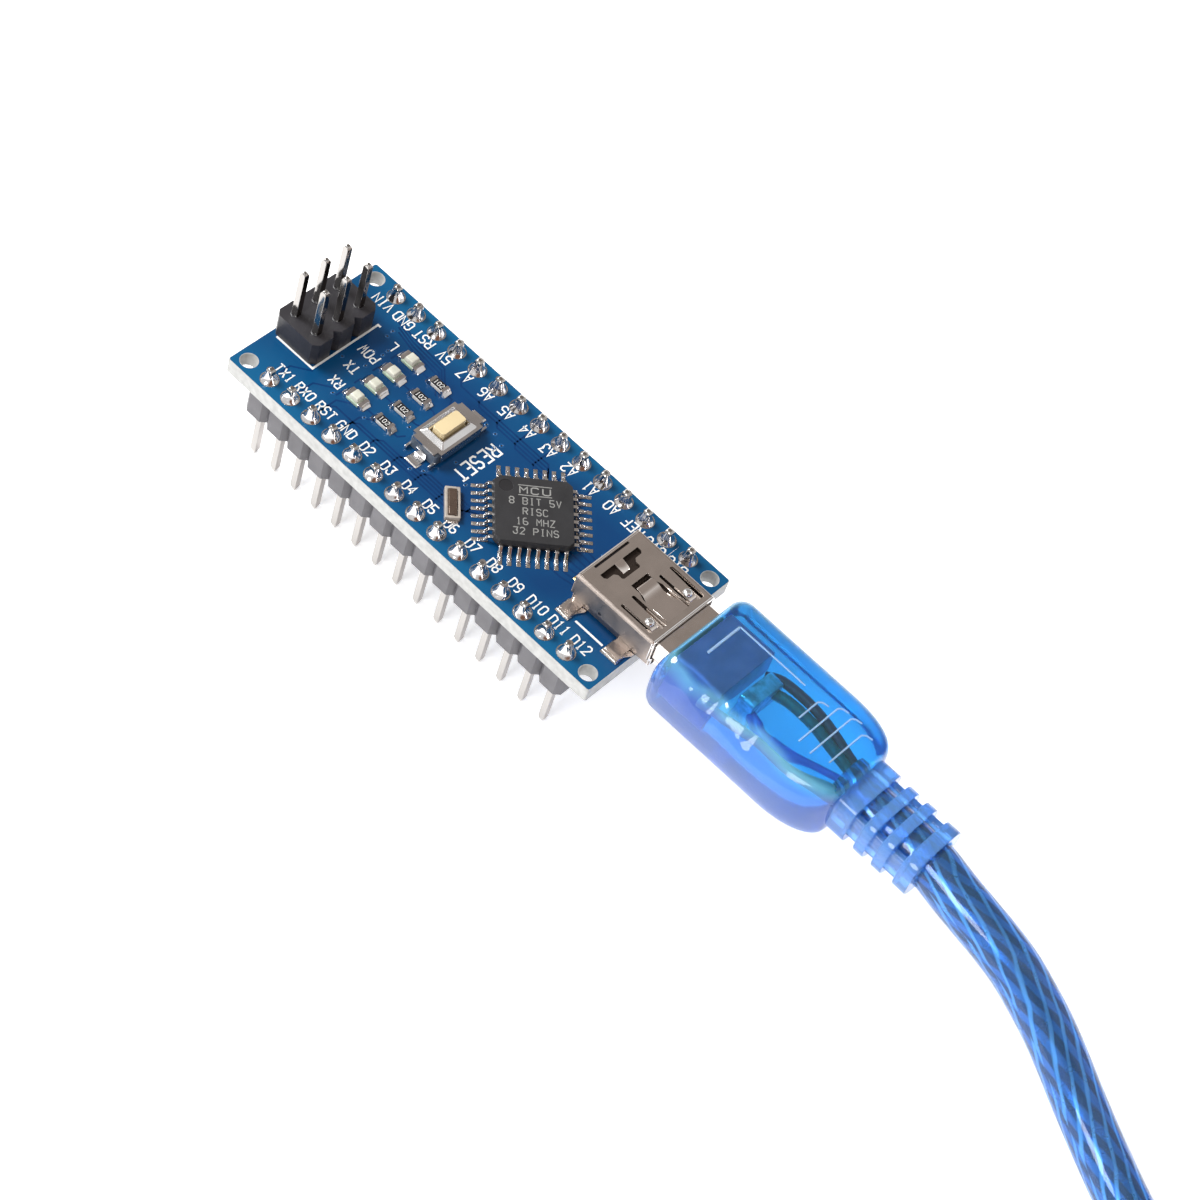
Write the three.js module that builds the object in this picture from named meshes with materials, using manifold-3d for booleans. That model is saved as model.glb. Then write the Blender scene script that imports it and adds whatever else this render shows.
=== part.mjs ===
// A small microcontroller board with two rows of header pins, and its USB cable.
// Millimetres, +Z up. The origin is under the middle of the board and its USB socket, at the pin tips.
// +X points out of the USB socket, +Y to the back row of pins.
import * as THREE from "three";
import { mergeVertices } from "three/addons/utils/BufferGeometryUtils.js";
import Module from "manifold-3d";

const wasm = await Module();
wasm.setup();

// ---------------------------------------------------------------- driving dimensions

const PITCH = 2.54;
const HAIR = 0.02; // gap that resting faces keep
const BOARD_LENGTH = 43.18;
const BOARD_WIDTH = 17.78;
const BOARD_THICKNESS = 1.6;
const ROW_PINS = 15;
const ROW_Y = 7.62;
const PIN_SIDE = 0.64;
const PIN_HOLE = 1.1;
const PIN_BELOW = 6;
const STRIP_HEIGHT = 2.54;
const PIN_ABOVE = 1.4; // above the board
const CORNER_HOLE = 1.7;
const MOUTH_OVERHANG = 1.56; // the socket's mouth stands past the board's end

const BOARD_BOTTOM = PIN_BELOW + STRIP_HEIGHT;
const BOARD_TOP = BOARD_BOTTOM + BOARD_THICKNESS;
const BOARD_X = -MOUTH_OVERHANG / 2;
const BOARD_END = BOARD_LENGTH / 2;

const SOCKET_Z = BOARD_TOP + 1.95; // middle height of the USB socket
const SOCKET_WALL = 0.35;
const SOCKET_BACK = 14.3;
const SOCKET_MOUTH = BOARD_END + MOUTH_OVERHANG;

const PLUG_WALL = 0.25;
const PLUG_TIP = 17.6;
const PLUG_BACK = 25;
const MOULD_FRONT = 24.4;
const MOULD_BACK = 43;
const MOULD_HALF_WIDTH = 5.9;
const MOULD_THICKNESS = 6.5;
const RELIEF_END = 51.4;

const CORD_DIAMETER = 4.5;
const CORD_GAP = 0.3;
const CORD_SIDES = 8;
const COIL_X = 112;
const COIL_Y = 12;
const COIL_RADIUS = 26;
const COIL_LIFT = 0.8; // the tie passes under the coil
const COIL_Z = COIL_LIFT + CORD_DIAMETER / 2;
const UPPER_TURN_Z = COIL_Z + CORD_DIAMETER + 0.1;
const LAST_BEND_RADIUS = 18;
const LAST_STRAIGHT = 4;

const USB_A_HEIGHT = COIL_LIFT + CORD_DIAMETER + 0.1;
const USB_A_THICKNESS = 8;
const USB_A_WIDTH = 15.6;
const USB_A_RELIEF = 8;
const USB_A_MOULD = 20;
const USB_A_SHELL = 12.4;

// ---------------------------------------------------------------- materials

function material(color, roughness, metalness = 0) {
  return new THREE.MeshStandardMaterial({ color, roughness, metalness });
}
const solderMask = material(0x14489a, 0.25);
const blackPlastic = material(0x1c1d20, 0.6);
const chipPlastic = material(0x34363a, 0.7);
const pinMetal = material(0xcfd0d2, 0.25, 1);
const steel = material(0x8f8a80, 0.35, 1);
const creamPlastic = material(0xe6d69a, 0.45);
const ledPlastic = material(0xd9dcc0, 0.3);
const ceramic = material(0xcfcac0, 0.5);
const capacitorCeramic = material(0xb08a5c, 0.5);
const tantalum = material(0xd98b1e, 0.5);
const lidMetal = material(0x4a3528, 0.35, 1);
const brightMetal = material(0xd8d8d8, 0.2, 1);
const gold = material(0xd4af5a, 0.25, 1);
const blueMould = material(0x3f9df0, 0.25);
const blueJacket = material(0x3c6cb0, 0.3);
const tieRubber = material(0x202024, 0.8);
const whitePlastic = material(0xf0f0ec, 0.4);

// ---------------------------------------------------------------- shape helpers

const AXIS_X = new THREE.Vector3(1, 0, 0);
const AXIS_Y = new THREE.Vector3(0, 1, 0);
const AXIS_Z = new THREE.Vector3(0, 0, 1);
const PROFILE_YZ = new THREE.Matrix4().makeBasis(AXIS_Y, AXIS_Z, AXIS_X);
const PROFILE_XZ = new THREE.Matrix4().makeBasis(AXIS_X, AXIS_Z, AXIS_Y.clone().negate());

function toSolid(geometry) {
  const bare = geometry.index ? geometry.toNonIndexed() : geometry.clone();
  bare.deleteAttribute("normal");
  bare.deleteAttribute("uv");
  const merged = mergeVertices(bare, 1e-4);
  const vertProperties = merged.attributes.position.array;
  const triVerts = new Uint32Array(merged.index.array);
  return new wasm.Manifold(new wasm.Mesh({ numProp: 3, vertProperties, triVerts }));
}

function toGeometry(solid) {
  const mesh = solid.getMesh();
  const geometry = new THREE.BufferGeometry();
  geometry.setAttribute("position", new THREE.BufferAttribute(mesh.vertProperties, 3));
  geometry.setIndex(new THREE.BufferAttribute(mesh.triVerts, 1));
  geometry.computeVertexNormals();
  return geometry;
}

function joined(first, ...others) {
  return toGeometry(others.reduce((whole, part) => whole.add(toSolid(part)), toSolid(first)));
}

function cut(first, ...tools) {
  return toGeometry(tools.reduce((whole, tool) => whole.subtract(toSolid(tool)), toSolid(first)));
}

// A box from its lowest and highest corners.
function box(x0, x1, y0, y1, z0, z1) {
  const geometry = new THREE.BoxGeometry(x1 - x0, y1 - y0, z1 - z0);
  return geometry.translate((x0 + x1) / 2, (y0 + y1) / 2, (z0 + z1) / 2);
}

// A box on z = bottom, centred in X and Y.
function block(length, width, height, bottom = 0) {
  return box(-length / 2, length / 2, -width / 2, width / 2, bottom, bottom + height);
}

// A block whose top is smaller than its foot by `taper` on every side.
function frustum(length, width, height, taper, bottom = 0) {
  const geometry = block(length, width, height, bottom);
  const position = geometry.attributes.position;
  for (let i = 0; i < position.count; i++) {
    if (position.getZ(i) > bottom + height / 2) {
      position.setX(i, position.getX(i) - Math.sign(position.getX(i)) * taper);
      position.setY(i, position.getY(i) - Math.sign(position.getY(i)) * taper);
    }
  }
  return geometry;
}

function polygon(points) {
  return new THREE.Shape(points.map(([u, v]) => new THREE.Vector2(u, v)));
}

function extruded(shape, depth, segments = 3) {
  return new THREE.ExtrudeGeometry(shape, { depth, bevelEnabled: false, curveSegments: segments });
}

// An outline in Z and Y, pulled along X from x0 to x1.
function pulledX(shape, x0, x1) {
  return extruded(shape, x1 - x0).applyMatrix4(PROFILE_YZ).translate(x0, 0, 0);
}

// An outline in X and Z, with its width centred on y = 0.
function pulledY(shape, width) {
  return extruded(shape, width).applyMatrix4(PROFILE_XZ).translate(0, width / 2, 0);
}

// A solid of revolution round Z from [radius, height] points, from the axis up and back to it.
function turned(points, segments, phase = 0) {
  const profile = points.map(([r, h]) => new THREE.Vector2(r, h));
  return new THREE.LatheGeometry(profile, segments, phase).rotateX(Math.PI / 2);
}

function rounded(halfWidth, halfHeight, corner) {
  const shape = new THREE.Shape();
  const u = halfWidth - corner;
  const v = halfHeight - corner;
  shape.absarc(u, v, corner, 0, Math.PI / 2);
  shape.absarc(-u, v, corner, Math.PI / 2, Math.PI);
  shape.absarc(-u, -v, corner, Math.PI, 1.5 * Math.PI);
  shape.absarc(u, -v, corner, 1.5 * Math.PI, 2 * Math.PI);
  return shape;
}

function regular(x, y, diameter, sides) {
  const path = new THREE.Path();
  for (let i = 0; i < sides; i++) {
    const angle = ((i + 0.5) / sides) * 2 * Math.PI;
    const point = [x + (diameter / 2) * Math.cos(angle), y + (diameter / 2) * Math.sin(angle)];
    if (i === 0) path.moveTo(...point);
    else path.lineTo(...point);
  }
  path.closePath();
  return path;
}

function chamfered(length, width, corner) {
  const u = length / 2;
  const v = width / 2;
  return polygon([
    [u, corner - v],
    [u, v - corner],
    [u - corner, v],
    [corner - u, v],
    [-u, v - corner],
    [-u, corner - v],
    [corner - u, -v],
    [u - corner, -v],
  ]);
}

// A square pin standing on z = 0, with a blunt point at its foot.
function squarePin(height, point = 0.7) {
  const half = PIN_SIDE / Math.SQRT2;
  const profile = [[0, 0], [half * 0.45, 0], [half, point], [half, height], [0, height]];
  return turned(profile, 4, Math.PI / 4);
}

// A gull-wing lead that leaves a body at x = 0 and stands on z = 0.
function gullWing(reach, height, thick, width, inset = 0.3) {
  const bend = reach * 0.22;
  const heel = reach * 0.52;
  return pulledY(
    polygon([
      [-inset, height],
      [bend, height],
      [heel, 0],
      [reach, 0],
      [reach, thick],
      [heel + thick * 0.6, thick],
      [bend + thick * 0.6, height + thick],
      [-inset, height + thick],
    ]),
    width,
  );
}

const root = new THREE.Group();
const board = new THREE.Group();
board.position.x = BOARD_X;
root.add(board);

function add(name, geometry, finish, parent = board) {
  const mesh = new THREE.Mesh(geometry, finish);
  mesh.name = name;
  parent.add(mesh);
  return mesh;
}

// ---------------------------------------------------------------- circuit board

const rowX = [...Array(ROW_PINS).keys()].map((i) => (i - (ROW_PINS - 1) / 2) * PITCH);
const icspColumns = [-BOARD_END + PITCH / 2, -BOARD_END + 1.5 * PITCH];
const icspRows = [-PITCH, 0, PITCH];

function circuitBoard() {
  const shape = chamfered(BOARD_LENGTH, BOARD_WIDTH, 0.15);
  const holeX = BOARD_END - PITCH / 2;
  for (const x of [-holeX, holeX])
    for (const y of [-ROW_Y, ROW_Y]) shape.holes.push(regular(x, y, CORNER_HOLE, 16));
  for (const x of rowX)
    for (const y of [-ROW_Y, ROW_Y]) shape.holes.push(regular(x, y, PIN_HOLE, 8));
  for (const x of icspColumns)
    for (const y of icspRows) shape.holes.push(regular(x, y, PIN_HOLE, 8));
  return extruded(shape, BOARD_THICKNESS).translate(0, 0, BOARD_BOTTOM);
}
add("circuit_board", circuitBoard(), solderMask);

// ---------------------------------------------------------------- pin headers

// The outline of `cells` square cells side by side, each with its corners cut off.
function notchedStrip(cells, width) {
  const corner = 0.45;
  const points = [];
  const side = (y, sign) => {
    for (let i = 0; i < cells; i++) {
      const start = sign * (i - cells / 2) * PITCH;
      points.push([start, y - Math.sign(y) * corner], [start + sign * corner, y]);
      points.push([start + sign * (PITCH - corner), y]);
    }
    points.push([(sign * cells * PITCH) / 2, y - Math.sign(y) * corner]);
  };
  side(-width / 2, 1);
  side(width / 2, -1);
  return polygon(points);
}

function headerRow() {
  const strip = extruded(notchedStrip(ROW_PINS, PITCH - 0.04), STRIP_HEIGHT - HAIR);
  strip.translate(0, 0, PIN_BELOW);
  const pins = rowX.map((x) => squarePin(BOARD_TOP + PIN_ABOVE).translate(x, 0, 0));
  return joined(strip, ...pins);
}
for (const [name, y] of [["header_front", -ROW_Y], ["header_back", ROW_Y]])
  add(name, headerRow(), blackPlastic).position.y = y;

const ICSP_BELOW = 1.3;
const ICSP_TIP = 8;
const icspX = (icspColumns[0] + icspColumns[1]) / 2;

function icspBase() {
  const outline = notchedStrip(3, 2 * PITCH - 0.04);
  for (const v of [-PITCH / 2, PITCH / 2])
    for (const u of icspRows) outline.holes.push(regular(u, v, PIN_HOLE - 0.05, 8));
  return extruded(outline, STRIP_HEIGHT).rotateZ(Math.PI / 2);
}
add("icsp_base", icspBase(), blackPlastic).position.set(icspX, 0, BOARD_TOP + HAIR);

for (const [i, x] of icspColumns.entries())
  for (const [j, y] of icspRows.entries()) {
    const length = ICSP_BELOW + BOARD_THICKNESS + ICSP_TIP;
    const pin = squarePin(length, 0.5).rotateX(Math.PI).translate(0, 0, length);
    add(`icsp_pin_${2 * j + i + 1}`, pin, pinMetal).position.set(x, y, BOARD_BOTTOM - ICSP_BELOW);
  }

// ---------------------------------------------------------------- microcontroller and resonator

const CHIP_BODY = 7;
const CHIP_HEIGHT = 1;
const CHIP_LEAD_PITCH = 0.8;

function microcontroller() {
  const bevel = 0.15;
  const outline = chamfered(CHIP_BODY - 2 * bevel, CHIP_BODY - 2 * bevel, 0.4);
  const body = new THREE.ExtrudeGeometry(outline, {
    depth: 0.2,
    bevelThickness: (CHIP_HEIGHT - 0.2) / 2,
    bevelSize: bevel,
    bevelSegments: 1,
  }).translate(0, 0, 0.1 + (CHIP_HEIGHT - 0.2) / 2);
  const leads = [];
  for (let side = 0; side < 4; side++)
    for (let i = 0; i < 8; i++) {
      const lead = gullWing(1, 0.5, 0.15, 0.36);
      lead.translate(CHIP_BODY / 2, (i - 3.5) * CHIP_LEAD_PITCH, 0);
      leads.push(lead.rotateZ((side * Math.PI) / 2));
    }
  return joined(body, ...leads);
}
const chip = add("microcontroller", microcontroller(), chipPlastic);
chip.position.set(6.47, -0.05, BOARD_TOP + HAIR);
chip.rotation.z = Math.PI / 4;

const resonator = new THREE.Group();
resonator.position.set(1.33, -4.58, BOARD_TOP + HAIR);
resonator.rotation.z = -Math.PI / 4;
board.add(resonator);
add("resonator_base", block(3.3, 1.35, 0.5), ceramic, resonator);
add("resonator_lid", frustum(2.9, 1.05, 0.28, 0.08, 0.5 + HAIR), lidMetal, resonator);

// ---------------------------------------------------------------- lights and resistors

const LED_X = -11.7;
const RESISTOR_X = -8.35;
const LIGHT_ROWS = [
  ["pin_13", 3.5],
  ["power", 1.25],
  ["transmit", -0.95],
  ["receive", -3.15],
];

function led() {
  const base = block(2, 1.25, 0.35);
  return joined(base, frustum(1.3, 1.15, 0.45, 0.08, 0.3));
}

for (const [label, y] of LIGHT_ROWS) {
  add(`led_${label}`, led(), ledPlastic).position.set(LED_X, y, BOARD_TOP + HAIR);
  const resistor = add(`resistor_${label}`, block(1.75, 0.9, 0.45), chipPlastic);
  resistor.position.set(RESISTOR_X, y, BOARD_TOP + HAIR);
}

// ---------------------------------------------------------------- reset switch

const SWITCH_X = -4;
const SWITCH_LENGTH = 5.9;
const SWITCH_WIDTH = 3;
const COVER_UNDER = 1.25;
const COVER_SHEET = 0.2;
const BUTTON_LENGTH = 3.05;
const BUTTON_WIDTH = 1.4;
const BUTTON_TOP = 2.3;
const BUTTON_CLEAR = 0.06;

const resetSwitch = new THREE.Group();
resetSwitch.position.set(SWITCH_X, 0, BOARD_TOP + HAIR);
board.add(resetSwitch);

function switchBase() {
  return cut(block(SWITCH_WIDTH, SWITCH_LENGTH, 1.2), block(2.1, 3.9, 1.2, 0.3));
}

function switchCover() {
  const plate = block(SWITCH_WIDTH + 0.4, SWITCH_LENGTH, COVER_SHEET, COVER_UNDER);
  const rim = frustum(2.6, 4.05, 0.4, 0.36, COVER_UNDER + COVER_SHEET - 0.02);
  const skirtX = SWITCH_WIDTH / 2 + 0.04;
  const skirts = [-1, 1].map((side) => {
    const inner = side * skirtX;
    const outer = side * (SWITCH_WIDTH / 2 + COVER_SHEET);
    const ends = [Math.min(inner, outer), Math.max(inner, outer)];
    return box(...ends, -2.4, 2.4, 0.4, COVER_UNDER + 0.1);
  });
  const opening = block(BUTTON_WIDTH + 2 * BUTTON_CLEAR, BUTTON_LENGTH + 2 * BUTTON_CLEAR, 2, 0.9);
  return cut(joined(plate, rim, ...skirts), opening);
}

function resetButton() {
  const flange = block(1.8, 3.5, 0.2, 1);
  const head = extruded(chamfered(BUTTON_WIDTH, BUTTON_LENGTH, 0.25), BUTTON_TOP - 1.1);
  return joined(flange, head.translate(0, 0, 1.1));
}

function snapDome() {
  const sheet = 0.08;
  const profile = [[0, 0.3], [0.5, 0.24], [0.9, 0], [0.9, sheet], [0.5, 0.24 + sheet], [0, 0.3 + sheet]];
  return turned(profile, 12).translate(0, 0, 0.32);
}

function switchTerminal() {
  const foot = SWITCH_LENGTH / 2 + HAIR;
  const end = foot + 1.25;
  const outline = polygon([[foot, 0], [end, 0], [end, 0.15], [foot + 0.15, 0.15], [foot + 0.15, 0.6], [foot, 0.6]]);
  return pulledX(outline, -0.6, 0.6);
}

add("switch_base", switchBase(), blackPlastic, resetSwitch);
add("switch_cover", switchCover(), steel, resetSwitch);
add("reset_button", resetButton(), creamPlastic, resetSwitch);
add("snap_dome", snapDome(), steel, resetSwitch);
add("switch_terminal_back", switchTerminal(), steel, resetSwitch);
add("switch_terminal_front", switchTerminal(), steel, resetSwitch).rotation.z = Math.PI;

// ---------------------------------------------------------------- USB socket

// The wide-topped outline of a mini USB plug, grown by `margin`, about the socket's middle.
function miniOutline(margin) {
  const wide = 3.4 + margin;
  const narrow = 2.9 + margin;
  const top = 1.5 + margin;
  const corner = 0.3;
  return [
    [narrow, -top],
    [narrow, -0.75 - margin / 2],
    [wide, -0.25 - margin / 2],
    [wide, top - corner],
    [wide - corner, top],
    [corner - wide, top],
    [-wide, top - corner],
    [-wide, -0.25 - margin / 2],
    [-narrow, -0.75 - margin / 2],
    [-narrow, -top],
  ];
}

function miniTube(outer, inner, x0, x1) {
  const shape = polygon(miniOutline(outer));
  shape.holes.push(new THREE.Path(polygon(miniOutline(inner)).getPoints()));
  return pulledX(shape, x0, x1);
}

const SOCKET_INNER = 0.08;
const SOCKET_OUTER = SOCKET_INNER + SOCKET_WALL;
const SOCKET_TOP = 1.5 + SOCKET_OUTER;
const TONGUE_UNDER = -0.45;
const TONGUE_END = 21.5;
const CONTACT_THICKNESS = 0.12;
const CONTACT_PITCH = 0.8;

const socket = new THREE.Group();
socket.position.z = SOCKET_Z;
board.add(socket);

function socketShell() {
  const body = miniTube(SOCKET_OUTER, SOCKET_INNER, SOCKET_BACK, SOCKET_MOUTH);
  const lip = miniTube(SOCKET_OUTER + 0.2, SOCKET_OUTER - 0.1, SOCKET_MOUTH - 0.3, SOCKET_MOUTH);
  const floor = BOARD_TOP + HAIR - SOCKET_Z;
  const tabs = [];
  for (const [x0, x1] of [[14.3, 15.8], [19.4, 21.2]])
    for (const side of [-1, 1]) {
      const ends = [side * 3.2, side * 5].sort((a, b) => a - b);
      tabs.push(box(x0, x1, ...ends, floor, floor + 0.3));
    }
  const slots = [-2.35, -1.35, 1.35, 2.35].map((y) =>
    box(17.8, 21.6, y - 0.15, y + 0.15, SOCKET_TOP - 1, SOCKET_TOP + 1),
  );
  const backWindow = box(SOCKET_BACK - 1, 15.7, -1.6, 1.6, SOCKET_TOP - 0.6, SOCKET_TOP + 1);
  const midWindow = box(16.9, 17.5, -0.8, 0.8, SOCKET_TOP - 0.6, SOCKET_TOP + 1);
  return cut(joined(body, lip, ...tabs), ...slots, backWindow, midWindow);
}
add("usb_socket_shell", socketShell(), steel, socket);

function socketTongue() {
  const under = TONGUE_UNDER;
  const back = box(SOCKET_BACK + 0.1, 17.2, -3.2, 3.2, under, 1.5);
  const tongue = box(17.1, TONGUE_END, -2.2, 2.2, under, under + 1);
  return joined(back, tongue);
}
add("usb_socket_tongue", socketTongue(), blackPlastic, socket);

function socketContact() {
  const top = TONGUE_UNDER - HAIR;
  const low = top - CONTACT_THICKNESS;
  const heel = SOCKET_BACK - 0.3;
  const floor = BOARD_TOP + HAIR - SOCKET_Z;
  const outline = polygon([
    [TONGUE_END - 0.3, low],
    [TONGUE_END - 0.3, top],
    [heel - CONTACT_THICKNESS, top],
    [heel - CONTACT_THICKNESS, floor + CONTACT_THICKNESS],
    [heel - 1, floor + CONTACT_THICKNESS],
    [heel - 1, floor],
    [heel, floor],
    [heel, low],
  ]);
  return pulledY(outline, 0.3);
}
for (let i = 0; i < 5; i++)
  add(`usb_socket_contact_${i + 1}`, socketContact(), gold, socket).position.y = (i - 2) * CONTACT_PITCH;

// ---------------------------------------------------------------- underside

const underside = new THREE.Group();
underside.position.z = BOARD_BOTTOM - HAIR;
underside.rotation.x = Math.PI;
board.add(underside);

function addUnder(name, geometry, finish, x, y, turn = 0) {
  const mesh = add(name, geometry, finish, underside);
  mesh.position.set(x, -y, 0);
  mesh.rotation.z = turn;
}

function serialChip() {
  const body = frustum(9.9, 3.9, 1.4, 0.12, 0.1);
  const leads = [];
  for (const side of [-1, 1])
    for (let i = 0; i < 8; i++) {
      const lead = gullWing(1.05, 0.6, 0.2, 0.42);
      lead.translate(1.9, 0, 0).rotateZ((side * Math.PI) / 2);
      leads.push(lead.translate((i - 3.5) * 1.27, 0, 0));
    }
  return joined(body, ...leads);
}

function regulator() {
  const body = frustum(6.5, 3.5, 1.6, 0.15, 0.05);
  const tab = box(-1.5, 1.5, 1.6, 3.4, 0, 0.3);
  const leads = [-2.3, 0, 2.3].map((x) => {
    const lead = gullWing(1.7, 0.7, 0.25, 0.7).translate(1.7, 0, 0).rotateZ(-Math.PI / 2);
    return lead.translate(x, 0, 0);
  });
  return joined(body, tab, ...leads);
}

function mouldedCase(length, width, height) {
  const foot = block(length + 0.5, width * 0.55, 0.3);
  return joined(frustum(length, width, height, 0.12), foot);
}

addUnder("usb_serial_chip", serialChip(), chipPlastic, 8.5, 0.6);
addUnder("usb_crystal", frustum(5, 3.2, 1.1, 0.2), brightMetal, 17, 0, Math.PI / 2);
addUnder("voltage_regulator", regulator(), chipPlastic, -12.2, -0.3);
addUnder("power_diode", mouldedCase(4.2, 2.6, 2), chipPlastic, -2.6, -3.4);
addUnder("usb_fuse", block(3.2, 1.6, 0.8), blackPlastic, -2.6, 4.3);
addUnder("tantalum_capacitor_1", mouldedCase(3.2, 1.6, 1.6), tantalum, -6.6, 3.6, Math.PI / 2);
addUnder("tantalum_capacitor_2", mouldedCase(3.2, 1.6, 1.6), tantalum, -6.7, -3.6, Math.PI / 2);
addUnder("resistor_array_1", block(3.2, 1.6, 0.55), chipPlastic, -2.6, 1.6);
addUnder("resistor_array_2", block(3.2, 1.6, 0.55), chipPlastic, -2.6, -0.7);
addUnder("ceramic_capacitor_1", block(1.6, 0.8, 0.8), capacitorCeramic, 4.4, 5.2);
addUnder("ceramic_capacitor_2", block(1.6, 0.8, 0.8), capacitorCeramic, 8.5, 5.2);
addUnder("ceramic_capacitor_3", block(1.6, 0.8, 0.8), capacitorCeramic, 12.6, 5.2);

// ---------------------------------------------------------------- mini USB plug

const plug = new THREE.Group();
plug.position.set(BOARD_X, 0, SOCKET_Z);
root.add(plug);

add("mini_plug_shell", miniTube(0, -PLUG_WALL, PLUG_TIP, PLUG_BACK), steel, plug);

function plugInsert() {
  const filled = pulledX(polygon(miniOutline(-PLUG_WALL - 0.03)), TONGUE_END + 0.4, PLUG_BACK);
  const ledge = box(PLUG_TIP + 0.3, TONGUE_END + 0.6, -2.4, 2.4, -1.2, -0.7);
  return joined(filled, ledge);
}
add("mini_plug_insert", plugInsert(), blackPlastic, plug);

const CAN_FRONT = PLUG_BACK + 0.3;
const CAN_BACK = 33;
const CRIMP_BACK = 37;

function plugCan() {
  const can = pulledX(rounded(3.9, 2.15, 0.6), CAN_FRONT, CAN_BACK);
  const crimp = pulledX(regularShape(5, 12), CAN_BACK - 0.5, CRIMP_BACK);
  return joined(can, crimp);
}

function regularShape(diameter, sides) {
  return new THREE.Shape(regular(0, 0, diameter, sides).getPoints());
}

// The plan of the moulded grip: nearly straight sides, round shoulders, a narrow back.
function gripOutline(halfWidth) {
  const shape = new THREE.Shape();
  const shoulder = MOULD_BACK - 5.4;
  const neck = 2.9;
  shape.moveTo(MOULD_FRONT, -halfWidth + 0.6);
  shape.lineTo(MOULD_FRONT + 0.6, -halfWidth);
  shape.lineTo(shoulder, -halfWidth);
  shape.quadraticCurveTo(MOULD_BACK, -halfWidth, MOULD_BACK, -neck);
  shape.lineTo(MOULD_BACK, neck);
  shape.quadraticCurveTo(MOULD_BACK, halfWidth, shoulder, halfWidth);
  shape.lineTo(MOULD_FRONT + 0.6, halfWidth);
  shape.lineTo(MOULD_FRONT, halfWidth - 0.6);
  return shape;
}

const RELIEF_RINGS = [
  [MOULD_BACK - 0.1, 44.75, 3.25],
  [45.8, 46.85, 3.3],
  [47.75, 48.8, 3.3],
  [50, RELIEF_END, 3.2],
];

function overmould() {
  const bevel = 1.2;
  const grip = new THREE.ExtrudeGeometry(gripOutline(MOULD_HALF_WIDTH - bevel), {
    depth: MOULD_THICKNESS - 2 * bevel,
    bevelThickness: bevel,
    bevelSize: bevel,
    bevelSegments: 2,
    curveSegments: 5,
  }).translate(0, 0, bevel - MOULD_THICKNESS / 2);
  const trimmed = toSolid(grip).intersect(toSolid(box(MOULD_FRONT, MOULD_BACK, -9, 9, -5, 5)));
  const core = pulledX(regularShape(5.1, 12), MOULD_BACK - 1, RELIEF_END);
  const rings = RELIEF_RINGS.map(([x0, x1, half]) => pulledX(rounded(half, half - 0.65, 1.1), x0, x1));
  const mouth = pulledX(polygon(miniOutline(0.12)), MOULD_FRONT - 1, CAN_FRONT);
  const chamber = box(PLUG_BACK - 0.1, CAN_BACK + 0.3, -4.2, 4.2, -2.45, 2.45);
  const crimpRoom = pulledX(regularShape(5.7, 12), CAN_BACK, CRIMP_BACK + 0.3);
  return cut(joined(toGeometry(trimmed), core, ...rings), mouth, chamber, crimpRoom);
}
add("mini_plug_overmould", overmould(), blueMould, plug);
add("mini_plug_can", plugCan(), brightMetal, plug);

// ---------------------------------------------------------------- cord

// The free stretch, from the strain relief down to the floor and up to the coil's outside.
const leadRoute = [
  [51.5, -0.08, 11.85],
  [53.7, -0.35, 11.55],
  [56, -0.5, 11.2],
  [58.5, -0.6, 10.7],
  [61, -0.75, 10],
  [63.5, -1, 8.9],
  [66, -1.35, 7.7],
  [68.5, -1.9, 6.4],
  [71, -2.6, 5.2],
  [74, -3.5, 4],
  [77, -4.5, 3.1],
  [80, -5.6, 2.55],
  [83, -6.75, 2.33],
  [86, -7.9, 2.3],
  [88.5, -8.8, 2.35],
  [90.3, -9.4, 2.4],
];

function tube(points, steps) {
  const path = new THREE.CatmullRomCurve3(points.map((p) => new THREE.Vector3(...p)), false, "centripetal");
  const section = regularShape(CORD_DIAMETER, CORD_SIDES);
  return new THREE.ExtrudeGeometry(section, { steps, bevelEnabled: false, extrudePath: path });
}
add("cord_lead", tube(leadRoute, 18), blueJacket, root);

// The coil's one full turn, lying on the floor just past the lead.
function coilRing() {
  const half = CORD_DIAMETER / 2;
  const corner = half * Math.tan(Math.PI / 8);
  const section = [];
  const corners = [[1, corner / half], [corner / half, 1], [-corner / half, 1], [-1, corner / half]];
  for (const [u, v] of [...corners, ...corners.map(([u, v]) => [-u, -v])])
    section.push([COIL_RADIUS + u * half, v * half]);
  section.push(section[0]);
  return turned(section, 40);
}
const coil = add("cord_coil", coilRing(), blueJacket, root);
coil.position.set(COIL_X, COIL_Y, COIL_Z);

// The second turn's first stretch, on top of the coil, and the bend that leads to the far plug.
function upperRoute() {
  const points = [];
  const degrees = Math.PI / 180;
  for (let angle = -135; angle <= 0; angle += 15) {
    const x = COIL_X + COIL_RADIUS * Math.cos(angle * degrees);
    const y = COIL_Y + COIL_RADIUS * Math.sin(angle * degrees);
    points.push([x, y, UPPER_TURN_Z]);
  }
  const bendX = COIL_X + COIL_RADIUS - LAST_BEND_RADIUS;
  const rise = USB_A_HEIGHT + USB_A_THICKNESS / 2 - UPPER_TURN_Z;
  for (let angle = 18; angle <= 90; angle += 18) {
    const x = bendX + LAST_BEND_RADIUS * Math.cos(angle * degrees);
    const y = COIL_Y + LAST_BEND_RADIUS * Math.sin(angle * degrees);
    points.push([x, y, UPPER_TURN_Z + (rise * (1 - Math.cos(2 * angle * degrees))) / 2]);
  }
  points.push([bendX - LAST_STRAIGHT + CORD_GAP, COIL_Y + LAST_BEND_RADIUS, UPPER_TURN_Z + rise]);
  return points;
}
add("cord_upper_turn", tube(upperRoute(), 26), blueJacket, root);

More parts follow.
